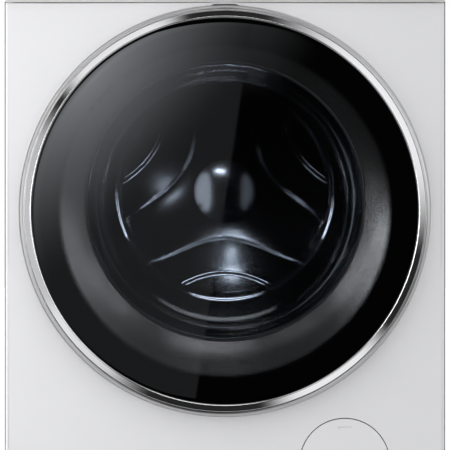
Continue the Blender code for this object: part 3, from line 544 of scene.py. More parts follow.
# ---------------------------------------------------------------- front
def front_panel():
    side, top = HALF - 0.0014, PANEL_HIGH - 0.0019
    outline = rounded_box(-side, PANEL_LOW, side, top, 0.003, 4)
    door_rim = round_outline(0, DOOR_Z, 0.28, 256)
    flap_hole = round_outline(0.163, 0.1045, 0.0618, 128)
    made = plate("front_sheet", outline, [door_rim, flap_hole], PANEL_Y, 0.004, PANEL_Y + 0.0135,
                 "white_enamel", cad="front_panel", thickness=0.0012, hole_edge=0.0012)
    for corner in made.data.vertices:
        for edge, inward in ((top, -1), (PANEL_LOW, 1)):
            inset = (corner.co.z - edge) * inward
            if inset < 0.0041 and corner.co.y < PANEL_Y + 0.0041:
                corner.co.z = edge + inward * 0.35 * inset
                corner.co.y = PANEL_Y + 0.35 * (corner.co.y - PANEL_Y)
    # Thin dark grey strips down the side edges: a seam between the front and side sheets, and also painted shade that
    # stands in for the dark rim where the rounded edge turns away from the light.
    for word, x in (("left", -HALF), ("right", side + 0.0002)):
        strip = rounded_box(x, 0.0235, x + 0.0012, PANEL_HIGH, 0.0003, 2)
        plate(f"{word}_seam_strip", strip, [], -0.2785, 0.0003, -0.2758, "grey_rubber")
    dish = lathe("door_recess", [(0.2799, RECESS_Y), (0.202, RECESS_Y, RISE), (0.2, RECESS_Y + 0.0015, RISE),
        (0.2, RECESS_Y + 0.017, RISE), (0.2012, RECESS_Y + 0.017, RISE), (0.2012, RECESS_Y + 0.0025, RISE),
        (0.203, RECESS_Y + 0.0012, RISE), (0.2799, RECESS_Y + 0.0012)], "white_enamel", DOOR_AT, 256,
                 soft=0.0006)
    carve(dish, block((0.2415, RECESS_Y - 0.01, DOOR_Z - 0.006), (0.2575, RECESS_Y + 0.01, DOOR_Z + 0.006)))


def filter_flap():
    rim = round_outline(0.163, 0.1045, 0.0608, 128)
    slot = rounded_box(0.163 - 0.0092, 0.1045 + 0.0478, 0.163 + 0.0092, 0.1045 + 0.0498, 0.0009, 4)
    plate("drain_flap", rim, [], PANEL_Y, 0.0006, PANEL_Y + 0.003, "white_plastic", body="flap",
          cad="filter_flap", floors=[(slot, 0.0016, 0.0003)])


def seal():
    """Bellows from the panel's rim to the tub, with its lip, its folds and a drip channel."""
    lift = DRUM_Z - WINDOW_Z
    section = [(0.1862, -0.285, 0), (0.188, -0.2805, 0), (0.1905, -0.279, 0), (0.193, -0.277, 0),
               (0.1926, -0.269, 0), (0.1944, -0.265, 0), (0.1928, -0.26, 0.1 * lift),
               (0.1962, -0.2565, 0.5 * lift), (0.195, -0.253, 0.8 * lift), (0.1992, -0.25, lift),
               (0.2, -0.244, lift), (0.1986, -0.24, lift), (0.2, -0.2356, lift), (0.204, -0.2356, lift),
               (0.2028, -0.24, lift), (0.204, -0.244, lift), (0.2034, -0.251, lift),
               (0.199, -0.254, 0.8 * lift), (0.2, -0.2575, 0.5 * lift), (0.1966, -0.261, 0.1 * lift),
               (0.197, -0.284, 0), (0.1955, -0.2862, 0), (0.19, -0.2866, 0)]
    lathe("door_bellows", section, "grey_rubber", (0, 0, WINDOW_Z), 192, cad="door_seal", soft=0.0018,
          steps=3)


# ---------------------------------------------------------------- controls and drawer
def control_panel():
    half, low, high = HALF + 0.0014, PANEL_HIGH + 0.0017, 0.828
    outline = rounded_box(-half, low, half, high, 0.0035, 6)
    drawer_hole = rounded_box(-0.279, 0.744, -0.081, 0.819, 0.004, 6)
    knob_hole = round_outline(0, CONTROL_Z, 0.0045, 48)
    button_hole = round_outline(BUTTON_X, CONTROL_Z, 0.0092, 64)
    plate("fascia", outline, [drawer_hole, knob_hole, button_hole], FASCIA_Y, 0.0022, PANEL_Y + 0.0135,
          "white_plastic", cad="control_panel", thickness=0.0024, hole_edge=0.0006)
    lip = rounded_box(-HALF + 0.0006, PANEL_HIGH - 0.0013, HALF - 0.0006, PANEL_HIGH + 0.0065, 0.0008, 3)
    plate("fascia_lip", lip, [], PANEL_Y - 0.0024, 0.0009, PANEL_Y - 0.0002, "white_plastic")
    lathe("dial_surround", [(0.0262, 0.0), (0.0262, -0.0012), (0.0268, -0.0018),
        (0.0292, -0.0018), (0.03, -0.0008), (0.03, 0.0)], "satin_silver", (0, FASCIA_Y + 0.0002, CONTROL_Z),
        128, soft=0.0004)
    lathe("button_surround", [(0.0094, 0.0), (0.0094, -0.0008), (0.0098, -0.0012),
        (0.0112, -0.0012), (0.0117, -0.0006), (0.0117, 0.0)], "satin_silver",
        (BUTTON_X, FASCIA_Y + 0.0002, CONTROL_Z), 96, soft=0.0003)
    for i in range(12):
        t = math.radians(-240 + 300 * i / 11)
        wide = 0.0016 if i % 3 else 0.0026
        at = (0.0345 * math.cos(-t), 0.0345 * math.sin(-t))
        lathe(f"dial_mark_{i + 1}", [(0, -0.00015), (wide / 2, -0.00015), (wide / 2, 0.0002), (0, 0.0002)],
              "dark_plastic", (at[0], FASCIA_Y, CONTROL_Z + at[1]), 24)
    for i in range(3):
        pad = rounded_box(0.085 + 0.036 * i, CONTROL_Z - 0.0035, 0.105 + 0.036 * i, CONTROL_Z + 0.0035,
            0.0034, 8)
        plate(f"touch_pad_{i + 1}", pad, [], FASCIA_Y - 0.0004, 0.0003, FASCIA_Y + 0.0002, "satin_silver")


def knob():
    """The programme knob: fine flutes round its side, a bevelled rim, a dished face and a pointer line."""
    sides, flutes, flute_depth = 288, 48, 0.00035
    profile = [(0.0, -0.015), (0.012, -0.0151), (0.0195, -0.0154), (0.0205, -0.0163), (0.0212, -0.0165),
               (0.0222, -0.0163), (0.0232, -0.0154), (0.0236, -0.014), (0.024, -0.01), (0.0244, -0.005),
               (0.0248, -0.0015), (0.0248, -0.0003), (0.004, -0.0003), (0.004, 0.012), (0.0, 0.012)]
    loops = []
    for radius, y in profile:
        fluted = radius > 0.0234 and -0.0152 < y < -0.001
        loop = []
        for t in bearings(sides) if radius else [0.0]:
            r = radius - (flute_depth * (0.5 + 0.5 * math.cos(flutes * t)) if fluted else 0.0)
            loop.append((r * math.cos(t), y, r * math.sin(t)))
        loops.append(loop)
    points, faces = strips(loops)
    object_from("dial", points, faces, "satin_silver", (0, FASCIA_Y, CONTROL_Z), 30, "knob", "program_knob")
    mark = rounded_box(-0.0008, CONTROL_Z + 0.008, 0.0008, CONTROL_Z + 0.0185, 0.0007, 6)
    plate("dial_pointer", mark, [], FASCIA_Y - 0.0157, 0.0002, FASCIA_Y - 0.0148, "dark_plastic", "knob")


def power_button():
    at = (BUTTON_X, FASCIA_Y, CONTROL_Z)
    lathe("start_button", [(0, -0.0022), (0.006, -0.0023), (0.0078, -0.0026), (0.0086, -0.002), (0.0086, 0.003),
                           (0, 0.003)],
          "satin_silver", at, 96, "button", "power_button", soft=[0, 0.002, 0.0008, 0.0005, 0.0002, 0])
    lathe("start_button_ring", [(0.0026, -0.00235), (0.0034, -0.0024), (0.0034, -0.0018), (0.0026, -0.0018)],
          "dark_plastic", at, 64, "button")


def drawer():
    outline = rounded_box(-0.278, 0.745, -0.082, 0.818, 0.0032, 6)
    grip = rounded_box(-0.223, 0.75, -0.137, 0.769, 0.006, 8)
    front = plate("drawer_face", outline, [], FASCIA_Y, 0.001, FASCIA_Y + 0.02, "white_plastic", "drawer",
                  "drawer_front", floors=[(grip, 0.016, 0.0012)])
    carve(front, block((-0.2225, FASCIA_Y + 0.006, 0.756), (-0.1375, FASCIA_Y + 0.016, 0.7805)))


# ---------------------------------------------------------------- cabinet
# a plate that faces -Y, turned to face up, right, left or back
UP = Matrix.Rotation(math.radians(-90), 4, "X")
RIGHT, LEFT, BACK = (Matrix.Rotation(math.radians(turn), 4, "Z") for turn in (90, -90, 180))


def tray():
    """The detergent tray: three bays with round corners in one moulding, and an insert in the softener bay."""
    left, right, start, end = -0.2715, -0.0885, -0.2796, -0.072
    middle = left + 0.118
    wall = 0.002
    bays = [rounded_box(left + wall, start + wall, middle - wall / 2, end - wall, 0.01, 6),
            rounded_box(middle + wall / 2, start + wall, right - wall, -0.18, 0.01, 6),
            rounded_box(middle + wall / 2, -0.178, right - wall, end - wall, 0.01, 6)]
    plate("drawer_bays", rounded_box(left, start, right, end, 0.003, 4), [], -0.806, 0.0006, -0.761,
          "white_plastic", "drawer", "drawer_tray", floors=[(bay, 0.043, 0.0008) for bay in bays], turn=UP)
    lid = rounded_box(middle + 0.0024, start + 0.004, right - 0.0034, -0.1816, 0.008, 6)
    window = rounded_box(middle + 0.018, start + 0.05, right - 0.018, -0.208, 0.005, 6)
    plate("softener_insert", lid, [window], -0.804, 0.0006, -0.801, "satin_silver", "drawer", turn=UP)


def screw(name, at, size=0.0042):
    """A pan-head screw with a cross recess, its head towards the back."""
    loops = [[(0, -0.2 * size, 0)]]
    for waist, reach, y in ((0.13, 0.34, -0.22), (0.17, 0.42, -0.52), (0.5, 0.5, -0.53), (0.68, 0.68, -0.5),
                            (0.84, 0.84, -0.4), (0.96, 0.96, -0.22), (1.0, 1.0, 0.0)):
        loop = []
        for t in bearings(48):
            r = size * (waist + (reach - waist) * abs(math.cos(2 * t)) ** 6)
            loop.append((r * math.cos(t), size * y, r * math.sin(t)))
        loops.append(loop)
    points, faces = strips(loops + [[(0, 0, 0)]])
    object_from(name, points, faces, "steel", at, 40, turn=BACK)


def worktop():
    plate("worktop_slab", rounded_box(-0.299, -0.298, 0.299, 0.309, 0.008, 8), [], -0.85, 0.004, -0.8345,
          "worktop_board", cad="worktop", turn=UP)
    plate("worktop_trim", rounded_box(-0.2978, -0.2968, 0.2978, 0.3078, 0.007, 6), [], -0.835, 0.0006, -0.8285,
          "white_plastic", turn=UP)


def side_panels():
    for word, turn, y0, y1, middle in (("left", LEFT, -0.3075, 0.2755, -0.016),
                                       ("right", RIGHT, -0.2755, 0.3075, 0.016)):
        dish = rounded_box(middle - 0.2, 0.12, middle + 0.2, 0.72, 0.04, 10)
        plate(f"{word}_side_sheet", rounded_box(y0, SHEET_LOW, y1, SHEET_HIGH, 0.002, 4), [], -0.2997, 0.0022,
              -0.2877, "white_enamel", cad=f"{word}_side_panel", thickness=0.0011,
              floors=[(dish, 0.0024, 0.0012)], turn=turn)


def rear_side():
    centre = DRUM_Z - 0.03
    holes = [round_outline(0, centre, 0.165, 192), round_outline(0.22, 0.79, 0.015, 48),
             round_outline(-0.22, 0.79, 0.013, 48), round_outline(-0.22, 0.12, 0.0085, 48)]
    holes += [rounded_box(-0.14 + 0.048 * i, 0.782, -0.108 + 0.048 * i, 0.787, 0.0024, 4) for i in range(6)]
    ribs = [(-0.255, 0.69, 0.255, 0.712, 0.01), (-0.175, 0.15, 0.255, 0.172, 0.01), (-0.27, 0.21, -0.25, 0.65, 0.009),
            (0.25, 0.21, 0.27, 0.65, 0.009)]
    plate("rear_sheet", rounded_box(-0.2975, SHEET_LOW, 0.2975, SHEET_HIGH, 0.004, 4), holes, -REAR_Y, 0.0008,
          -REAR_Y + 0.003, "galvanised", cad="rear_panel", thickness=0.001,
          floors=[(rounded_box(*rib), 0.003, 0.0015) for rib in ribs], turn=BACK)
    y = REAR_Y
    face = y + 0.012
    section = [(0, face), (0.03, face), (0.034, face - 0.0016), (0.038, face), (0.078, face),
               (0.082, face - 0.0016), (0.086, face), (0.144, face), (0.154, face - 0.0015), (0.164, y + 0.006),
               (0.17, y + 0.0016), (0.1895, y + 0.0016), (0.19, y + 0.0004), (0.1714, y + 0.0004),
               (0.163, y + 0.005), (0.15, face - 0.003), (0.14, face - 0.0012), (0, face - 0.0012)]
    sizes = [0, 0.002, 0.003, 0.002, 0.002, 0.003, 0.002, 0.006, 0.006, 0.005, 0.004, 0.0006, 0.0003, 0.003,
             0.004, 0.004, 0.003, 0]
    lathe("service_cover", section, "galvanised", (0, 0, centre), 256, cad="rear_service_cover", soft=sizes)
    for i in range(8):
        t = math.radians(22.5 + 45 * i)
        screw(f"cover_screw_{i + 1}", (0.181 * math.cos(t), y + 0.0016, centre + 0.181 * math.sin(t)))
    spots = [(x, z) for z in (0.036, 0.815) for x in (-0.275, -0.095, 0.095, 0.275)]
    spots += [(x, z) for x in (-0.284, 0.284) for z in (0.25, 0.6)]
    for i, (x, z) in enumerate(spots):
        screw(f"rear_screw_{i + 1}", (x, y, z))
    cap = [(0, 0.003), (0.004, 0.003), (0.0052, 0.0052), (0.015, 0.0045), (0.017, 0.0025), (0.0172, 0.0), (0, 0.0)]
    for i, (x, z) in enumerate(((-0.205, 0.245), (0.205, 0.245), (-0.215, 0.655), (0.215, 0.655))):
        lathe(f"transit_cap_{i + 1}", cap, "dark_plastic", (x, y, z), 64,
              soft=[0, 0.001, 0.001, 0.001, 0.001, 0.0003, 0])


def ridges(count, crest, root, start, half, pitch):
    """The crests and roots of a thread or a barbed hose end, half apart, repeated each pitch."""
    out = []
    for i in range(count):
        out += [(crest, start + pitch * i), (root, start + half + pitch * i)]
    return out


def feet():
    pad = [(0, 0), (0.0205, 0), (0.022, 0.0014), (0.022, 0.0026), (0.0212, 0.0031), (0.022, 0.0036),
           (0.022, 0.0046), (0.0212, 0.0051), (0.022, 0.0056), (0.022, 0.0066), (0.0205, 0.008),
           (0.013, 0.0098), (0, 0.01)]
    nut = [(0.005, 0.0102), (0.0105, 0.0102), (0.0115, 0.0108), (0.0115, 0.0134), (0.0105, 0.014), (0.005, 0.014)]
    stem = [(0, 0.0101)] + ridges(38, 0.005, 0.0044, 0.0104, 0.0004, 0.0008) + [(0.0044, 0.0418), (0, 0.042)]
    for end, y in (("front", -0.235), ("rear", 0.265)):
        for side, x in (("left", -0.255), ("right", 0.255)):
            word, at = f"{end}_{side}", (x, y, 0)
            lathe(f"foot_pad_{word}", pad, "black_rubber", at, 96, cad=f"foot_{word}", axis="Z", soft=0.0005, steps=3)
            lathe(f"foot_nut_{word}", nut, "steel", at, 6, axis="Z", sharp=20)
            lathe(f"foot_stem_{word}", stem, "steel", at, 32, axis="Z")


def rear_services():
    y = REAR_Y
    nipple = [(0, y - 0.04), (0.018, y - 0.04), (0.018, y - 0.006), (0.016, y - 0.004), (0.013, y - 0.004),
              (0.0145, y - 0.0035), (0.0145, y + 0.002), (0.0128, y + 0.0028)]
    nipple += ridges(8, 0.013, 0.0119, y + 0.0044, 0.001, 0.0019)
    nipple += [(0.0119, y + 0.0202), (0.0112, y + 0.021), (0.0085, y + 0.021), (0.008, y + 0.0205),
               (0.008, y + 0.01), (0, y + 0.01)]
    lathe("water_inlet", nipple, "white_plastic", (-0.22, 0, 0.79), 96, cad="inlet_valve")
    coil = rounded_box(-0.245, 0.772, -0.195, 0.808, 0.004, 6)
    plate("inlet_coil", coil, [], y - 0.07, 0.0015, y - 0.036, "dark_plastic")
    mesh_filter = [(0, y + 0.0106), (0.003, y + 0.0112), (0.0078, y + 0.0104), (0.0078, y + 0.0101),
                   (0, y + 0.0101)]
    lathe("inlet_filter", mesh_filter, "steel", (-0.22, 0, 0.79), 48)
    spigot = [(0.008, y - 0.04), (0.0102, y - 0.04), (0.0102, y + 0.003)]
    spigot += ridges(4, 0.011, 0.0099, y + 0.004, 0.0038, 0.0042) + [(0.0092, y + 0.021), (0.008, y + 0.0205)]
    lathe("drain_outlet", spigot, "dark_plastic", (0.22, 0, 0.79), 96, cad="drain_spigot")
    gland = [(0.004, y - 0.012), (0.0075, y - 0.012), (0.0075, y + 0.0006), (0.0118, y + 0.0006),
             (0.012, y + 0.0016), (0.0116, y + 0.0034), (0.0104, y + 0.004), (0.0108, y + 0.0052),
             (0.0096, y + 0.006), (0.01, y + 0.0072), (0.0088, y + 0.008), (0.0092, y + 0.0092),
             (0.008, y + 0.01), (0.004, y + 0.01)]
    lathe("cord_gland", gland, "dark_plastic", (0.22, 0, 0.12), 96, cad="cable_gland", soft=0.0004, steps=3)


# ---------------------------------------------------------------- drum
def eased(share):
    share = min(max(share, 0.0), 1.0)
    return share * share * (3 - 2 * share)


def star_inset(across, up):
    """How far a point lies inside the three-armed pressing of the drum's back."""
    near, rise, half_span, tip = 0.066, 0.037, 0.128, 0.144
    inset = []
    for bearing in (30, 150, 270):
        t = math.radians(bearing)
        out, along = across * math.cos(t) + up * math.sin(t), across * math.sin(t) - up * math.cos(t)
        edge = near + rise * math.sin(math.pi / 2 * min(abs(along) / half_span, 1)) ** 2
        inset += [edge - out, tip + out]
    return min(inset)


def pad_inset(across, up):
    """How far a point lies inside one of the three lens-shaped pads between the arms."""
    best = -1.0
    for bearing in (30, 150, 270):
        t = math.radians(bearing)
        out, along = across * math.cos(t) + up * math.sin(t), across * math.sin(t) - up * math.cos(t)
        top = 0.116 + 4.6 * along * along
        low = math.sqrt(max(0.147 ** 2 - along * along, 0.0))
        best = max(best, min(out - top, low - out, (0.059 - abs(along)) * 0.8))
    return best


def drum_relief(across, up):
    """How far the drum's back stands forward of its rim."""
    radius = math.hypot(across, up)
    inset = star_inset(across, up)
    star = 0.008 * eased(inset / 0.0032 + 0.5)
    if inset > 0:
        star += 0.0014 * (1 - math.exp(-inset / 0.014))
    pad = -0.0042 * eased(pad_inset(across, up) / 0.0056 + 0.5)
    bead = 0.0012 * max(0.0, 1 - ((radius - 0.1512) / 0.0036) ** 2)
    return star + pad + bead


def drum():
    at = (0, 0, DRUM_Z)
    spokes = 480
    radii = [0.0011 * i for i in range(152)] + [0.169 + 0.002 * i for i in range(7)]
    loops = []
    for r in radii:
        places = round_outline(0, 0, r, spokes) if r else [(0.0, 0.0)]
        loops.append([(x, DRUM_BACK_Y - drum_relief(x, z), z) for x, z in places])
    behind = [[(x, y + 0.0011, z) for x, y, z in loop] for loop in loops[::-1]]
    points, faces = strips(loops + behind)
    object_from("drum_rear_wall", points, faces, "stainless", at, 45, body="drum", cad="drum_back")
    corner = [(0.1808, DRUM_BACK_Y), (0.225, DRUM_BACK_Y), (0.238, DRUM_BACK_Y - 0.005),
              (0.2435, DRUM_BACK_Y - 0.01), (0.2435, DRUM_BACK_Y + 0.0011), (0.1808, DRUM_BACK_Y + 0.0011)]
    lathe("drum_rear_corner", corner, "stainless", at, 256, body="drum", soft=[0, 0.008, 0.006, 0, 0, 0],
          steps=6)
    low = DRUM_BACK_Y - 0.0112
    bulge, reach = 0.085, 0.044
    sink = math.sqrt(bulge ** 2 - reach ** 2)
    dome = [(reach * i / 24, low + sink - math.sqrt(bulge ** 2 - (reach * i / 24) ** 2)) for i in range(25)]
    cap = lathe("drum_hub_cap", dome + [(0.044, low + 0.0006), (0, low + 0.0006)], "stainless", at, 192,
                body="drum")
    cap.data.materials[0] = drum_steel("dome steel", 0.215)
    drum_wall()
    for i, bearing in enumerate((90, 210, 330)):
        lifter(i + 1, math.radians(bearing))


def drum_wall():
    """The perforated wall: rows of small punched holes in one sheet, and the pressed front ring."""
    at = (0, 0, DRUM_Z)
    radius, low, high = 0.2475, -0.196, 0.154
    columns, rows, hole, corners = 108, 25, 0.0019, 8
    pitch = (high - low) / rows
    arc = 2 * math.pi * radius / columns
    points, faces = [], []
    index = {}

    def vertex(u, y):
        key = (round(u * 1e6) % round(2 * math.pi * radius * 1e6), round(y * 1e6))
        if key not in index:
            index[key] = len(points)
            t = u / radius
            points.append((radius * math.cos(t), y, radius * math.sin(t)))
        return index[key]

    for row in range(rows):
        for column in range(columns):
            u0, y0 = column * arc, low + row * pitch
            u1, y1 = u0 + arc, y0 + pitch
            cu, cy = (u0 + u1) / 2, (y0 + y1) / 2
            square = [vertex(u0, y0), vertex(cu, y0), vertex(u1, y0), vertex(u1, cy), vertex(u1, y1),
                      vertex(cu, y1), vertex(u0, y1), vertex(u0, cy)]
            if (row + column) % 2 or row in (0, rows - 1):
                faces.append(tuple(square))
                continue
            ring = []
            for k in range(corners):
                t = math.radians(-135 + 45 * k)
                ring.append(vertex(cu + hole * math.cos(t), cy + hole * math.sin(t)))
            for k in range(corners):
                j = (k + 1) % corners
                faces.append((square[k], square[j], ring[j], ring[k]))
    made = object_from("drum_wall", points, faces, "stainless", at, 60, body="drum")
    thicken(made, 0.001)
    lathe("drum_front_ring", [
        (0.183, -0.206), (0.186, -0.214), (0.235, -0.214), (0.244, -0.208), (0.2475, -0.196), (0.2475, -0.19),
        (0.2465, -0.19), (0.2465, -0.1955), (0.2432, -0.207), (0.2345, -0.2128), (0.1868, -0.2128),
        (0.1841, -0.2055)], "stainless", at, 256, "drum", "drum_shell", soft=0.003)


def lifter(number, bearing):
    """A paddle pressed from sheet: two flanks that meet in a round crest, tapering at both ends."""
    wall = 0.2445
    stations = [(-0.192, 0.2), (-0.186, 0.45), (-0.176, 0.68), (-0.16, 0.86), (-0.135, 0.96), (-0.1, 1.0),
                (-0.02, 1.0), (0.055, 1.0), (0.085, 0.95), (0.108, 0.85), (0.125, 0.7), (0.134, 0.55),
                (0.139, 0.4)]
    loops = []
    for depth, share in stations:
        crest = 0.055 * share
        half = [(0.0025, 0.03), (0.3 * crest, 0.0235), (0.65 * crest, 0.0155), (0.88 * crest, 0.011),
                (0.97 * crest, 0.007), (crest, 0.0025)]
        profile = [(wall - h, s) for h, s in half] + [(wall - h, -s) for h, s in half[::-1]]
        inner = [(wall - max(h - 0.0012, 0.0012), s * 0.93) for h, s in half]
        profile += [(r, -s) for r, s in inner] + inner[::-1]
        loops.append([(r * math.cos(bearing) - s * math.sin(bearing), depth, r * math.sin(bearing)
                       + s * math.cos(bearing)) for r, s in profile])
    points, faces = strips(loops, caps=True)
    object_from(f"drum_paddle_{number}", points, faces, "stainless", (0, 0, DRUM_Z), 50, body="drum",
                cad=f"drum_lifter_{number}")


# ---------------------------------------------------------------- stage, light and camera
def world():
    """White to the camera, an even pale room to matt surfaces, and soft panels of light to glossy ones."""
    made = bpy.data.worlds.new("studio")
    bpy.context.scene.world = made
    made.use_nodes = True
    tree = made.node_tree
    output = tree.nodes["World Output"]
    tree.nodes.remove(tree.nodes["Background"])
    way = node(tree, "ShaderNodeTexCoord").outputs["Generated"]
    x, y, z = split(tree, way)
    flat = node(tree, "ShaderNodeCombineXYZ", {0: x, 1: 0.0, 2: z}).outputs[0]
    flat = node(tree, "ShaderNodeVectorMath", {0: flat}, operation="NORMALIZE").outputs[0]
    # bearing in degrees anticlockwise from the right, half width, softness, brightness
    panels = [(33, 28, 36, 0.95), (123, 17, 12, 0.88), (197, 44, 14, 0.44), (190, 25, 30, 0.15), (222, 11, 14, 0.32),
              (303, 15, 16, 0.92)]
    near_panels = [(160, 15, 24, 8.0), (183, 9, 14, 5.0), (5, 22, 24, 3.8), (40, 10, 16, 3.0), (84, 14, 16, 4.2),
                   (120, 8, 16, 1.5), (320, 20, 20, 0.6)]

    def sectors(total, rows):
        for bearing, half, soft, level in rows:
            outer, inner = (math.cos(math.radians(a)) for a in (half + soft / 2, max(half - soft / 2, 0)))
            total = plus(tree, ramp_to(tree, along(tree, flat, bearing), outer, inner, 0.0, level), total)
        return total

    total, near = sectors(0.02, panels), sectors(0.02, near_panels)
    ahead = times(tree, y, -1.0)
    around = ramp_to(tree, ahead, 0.6, 0.56, 0.0, 1.0)
    closer = times(tree, ramp_to(tree, ahead, 0.84, 0.76, 0.0, 1.0), ramp_to(tree, ahead, 0.56, 0.6))
    front = plus(tree, times(tree, total, around), times(tree, near, closer))
    pale = ramp_to(tree, y, 0.05, 0.35, 0.0, 0.55)
    level = plus(tree, calc(tree, "MAXIMUM", front, 0.004), pale)
    shiny = node(tree, "ShaderNodeCombineColor", {0: level, 1: level, 2: times(tree, level, 1.01)}).outputs[0]
    path = node(tree, "ShaderNodeLightPath")
    facing = calc(tree, "MAXIMUM", ahead, 0.0)
    ahead_light = times(tree, times(tree, facing, facing), 0.8)
    over = calc(tree, "MAXIMUM", z, 0.0)
    around_light = plus(tree, times(tree, x, x), times(tree, over, over))
    around_light = times(tree, around_light, 0.52)
    behind_light = times(tree, calc(tree, "MAXIMUM", y, 0.0), 0.45)
    room = plus(tree, ahead_light, behind_light, around_light, 0.25)
    room = times(tree, room, ramp_to(tree, z, -0.5, 0.0, 0.55, 1.0))
    matt = node(tree, "ShaderNodeCombineColor", {0: room, 1: room, 2: times(tree, room, 1.012)}).outputs[0]
    seen = mixed(tree, path.outputs["Is Glossy Ray"], matt, shiny)
    seen = mixed(tree, path.outputs["Is Camera Ray"], seen, (1, 1, 1, 1))
    light = node(tree, "ShaderNodeBackground", {"Color": seen, "Strength": 1.0})
    tree.links.new(light.outputs[0], output.inputs["Surface"])


def lamp(name, at, aim, size, power, colour=(1, 1, 1), shape="RECTANGLE", size_y=None, gloss=True):
    data = bpy.data.lights.new(name, "AREA")
    data.shape = shape
    data.size = size
    data.size_y = size_y or size
    data.energy = power
    data.color = colour
    made = in_scene(name, data, at)
    made.rotation_euler = (Vector(aim) - Vector(at)).to_track_quat("-Z", "Y").to_euler()
    made.visible_camera = False
    made.visible_glossy = gloss
    return made


def drum_lights():
    """Small lamps inside the drum, which draw its pressed edges, its hub and the door's bowl, and nothing else."""

    def group(name, *pieces):
        made = bpy.data.collections.new(name)
        for piece in pieces:
            made.objects.link(bpy.data.objects[piece])
        return made

    wall = group("lit by the drum lamps", "drum_rear_wall")
    cap, bowl = group("lit by the hub lamps", "drum_hub_cap"), group("lit by the bowl lamps", "bowl")
    back, z = DRUM_BACK_Y, DRUM_Z
    for name, at, aim, size, size_y, power, spread, lit in (
            ("drum low", (0.01, -0.15, z - 0.118), (0, back, z - 0.06), 0.022, 0.014, 0.0016, 60, wall),
            ("web low", (0.009, -0.15, z - 0.09), (0.009, back, z - 0.09), 0.01, 0.022, 0.0005, 60, wall),
            ("drum under", (0.00, 0.05, z - 0.205), (0, back, z - 0.125), 0.14, 0.015, 0.027, 72, wall),
            ("drum left", (-0.2, 0.06, z - 0.08), (-0.1, back, z - 0.08), 0.012, 0.16, 0.024, 50, wall),
            ("drum right", (0.2, 0.06, z - 0.085), (0.1, back, z - 0.08), 0.012, 0.14, 0.024, 55, wall),
            ("arm left", (-0.165, 0.05, z + 0.07), (-0.08, back, z - 0.01), 0.01, 0.06, 0.006, 60, wall),
            ("arm right", (0.165, 0.05, z + 0.06), (0.08, back, z - 0.01), 0.01, 0.05, 0.0024, 60, wall),
            ("drum high left", (-0.088, -0.17, z + 0.01), (-0.07, back, z - 0.02), 0.02, 0.02, 0.0004, 60, wall),
            ("hub left", (-0.153, 0.000, z - 0.005), (0, back, z), 0.13, 0.32, 0.17, 180, cap),
            ("hub right", (0.153, 0.000, z - 0.005), (0, back, z), 0.09, 0.28, 0.022, 180, cap),
            ("hub top", (-0.034, 0.000, z + 0.138), (0, back, z), 0.076, 0.026, 0.08, 180, cap),
            ("bowl low", (0.02, 0.04, z + 0.15), (0.01, -0.24, WINDOW_Z - 0.17), 0.2, 0.1, 0.026, 80, bowl)):
        made = lamp(name, at, aim, size, power, (0.93, 0.965, 1.0), "ELLIPSE", size_y)
        made.data.spread = math.radians(spread)
        made.light_linking.receiver_collection = lit


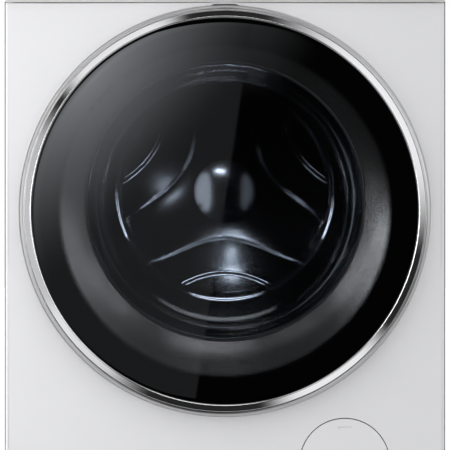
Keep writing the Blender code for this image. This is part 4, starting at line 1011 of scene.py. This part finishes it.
def reflection():
    """A large pale panel in front of the machine, brighter on its left half, which only the door glass mirrors."""
    y = FRONT_Y - 2.5
    grow = 1.57
    low, high = DOOR_Z - 0.45, DOOR_Z + 0.45
    points = [(-0.8, y, low), (0.6, y, low), (0.6, y, high), (-0.8, y, high)]
    mesh = bpy.data.meshes.new("panel of light")
    mesh.from_pydata(points, [], [(0, 1, 2, 3)])
    made = in_scene("panel of light", mesh)
    made.visible_camera = False
    made.visible_diffuse = False
    made.visible_transmission = False
    made.visible_shadow = False
    glowing, tree, _ = new_material("light panel")
    where = place(tree)

    def past(bearing, start):
        moved = node(tree, "ShaderNodeVectorMath", {0: where, 1: start}, operation="SUBTRACT").outputs[0]
        return along(tree, moved, bearing)

    peak = (-0.285, y, DOOR_Z + 0.305)
    a, b = times(tree, past(50, peak), 0.5), times(tree, past(140, peak), 1.3)
    fall = ramp_to(tree, distance(tree, a, b), 0.0, 0.363, 1.0, 0.0, kind="LINEAR")
    left = plus(tree, times(tree, calc(tree, "POWER", fall, 2.1), 5.0), 0.26)
    crown = node(tree, "ShaderNodeVectorMath", {0: where, 1: (0.03, y, DOOR_Z + 0.43)}, operation="DISTANCE")
    right = ramp_to(tree, crown.outputs["Value"], 0.0, 0.2, 0.5, 0.012)
    edge = past(-8.5, (-0.0025 * grow, y, DOOR_Z))
    share = ramp_to(tree, edge, -0.003, 0.003, 1.0, 0.0)
    glow = plus(tree, times(tree, share, left),
                times(tree, calc(tree, "SUBTRACT", 1.0, share), right))
    light = node(tree, "ShaderNodeEmission", {"Color": (0.955, 0.99, 1.05, 1.0), "Strength": glow})
    shows(tree, light.outputs[0])
    mesh.materials.append(glowing)
    only = bpy.data.collections.new("mirrors the panel of light")
    only.objects.link(bpy.data.objects["glass_cover"])
    made.light_linking.receiver_collection = only


def stage():
    world()
    floor = bpy.data.meshes.new("studio floor")
    floor.from_pydata([(x, y, -0.0005) for x, y in round_outline(0, 0, 40, 96)], [], [tuple(range(96))])
    made = in_scene("studio floor", floor)
    made.data.materials.append(finish("studio floor", (0.84, 0.84, 0.84), 0.8, vary=0.01, blotch=2, grain=60,
                                      Emission_Color=(1, 1, 1, 1), Emission_Strength=0.42))
    made.visible_glossy = False
    made.visible_diffuse = False
    key = lamp("key", (-0.95, -1.05, 0.66), (-0.05, PANEL_Y, 0.4), 0.8, 6.0, gloss=False)
    shading = bpy.data.collections.new("stands in the way of the key light")
    for piece in bpy.context.scene.objects:
        if piece.type == "MESH" and piece.get("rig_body") not in (None, "door", "door_latch"):
            shading.objects.link(piece)
    key.light_linking.blocker_collection = shading
    drum_lights()
    reflection()
    camera = bpy.data.cameras.new("front")
    camera.sensor_width = 36
    camera.lens = 36 * 10 / 0.61223
    camera.clip_end = 60
    view = in_scene("front", camera, (0, PANEL_Y - 10, 0.429))
    view.rotation_euler = (math.pi / 2, 0, 0)
    bpy.context.scene.camera = view
    bpy.context.scene.view_settings.view_transform = "Standard"


def carried_over():
    """Frame nodes that keep their shape get the same finishes."""
    for made in frame["nodes"].values():
        for held in made.material_slots:
            held.material = MATERIALS[held.material.name.split(".")[0]]


carried_over()
door()
front_panel()
filter_flap()
seal()
drum()
control_panel()
knob()
power_button()
drawer()
tray()
worktop()
side_panels()
rear_side()
feet()
rear_services()
stage()
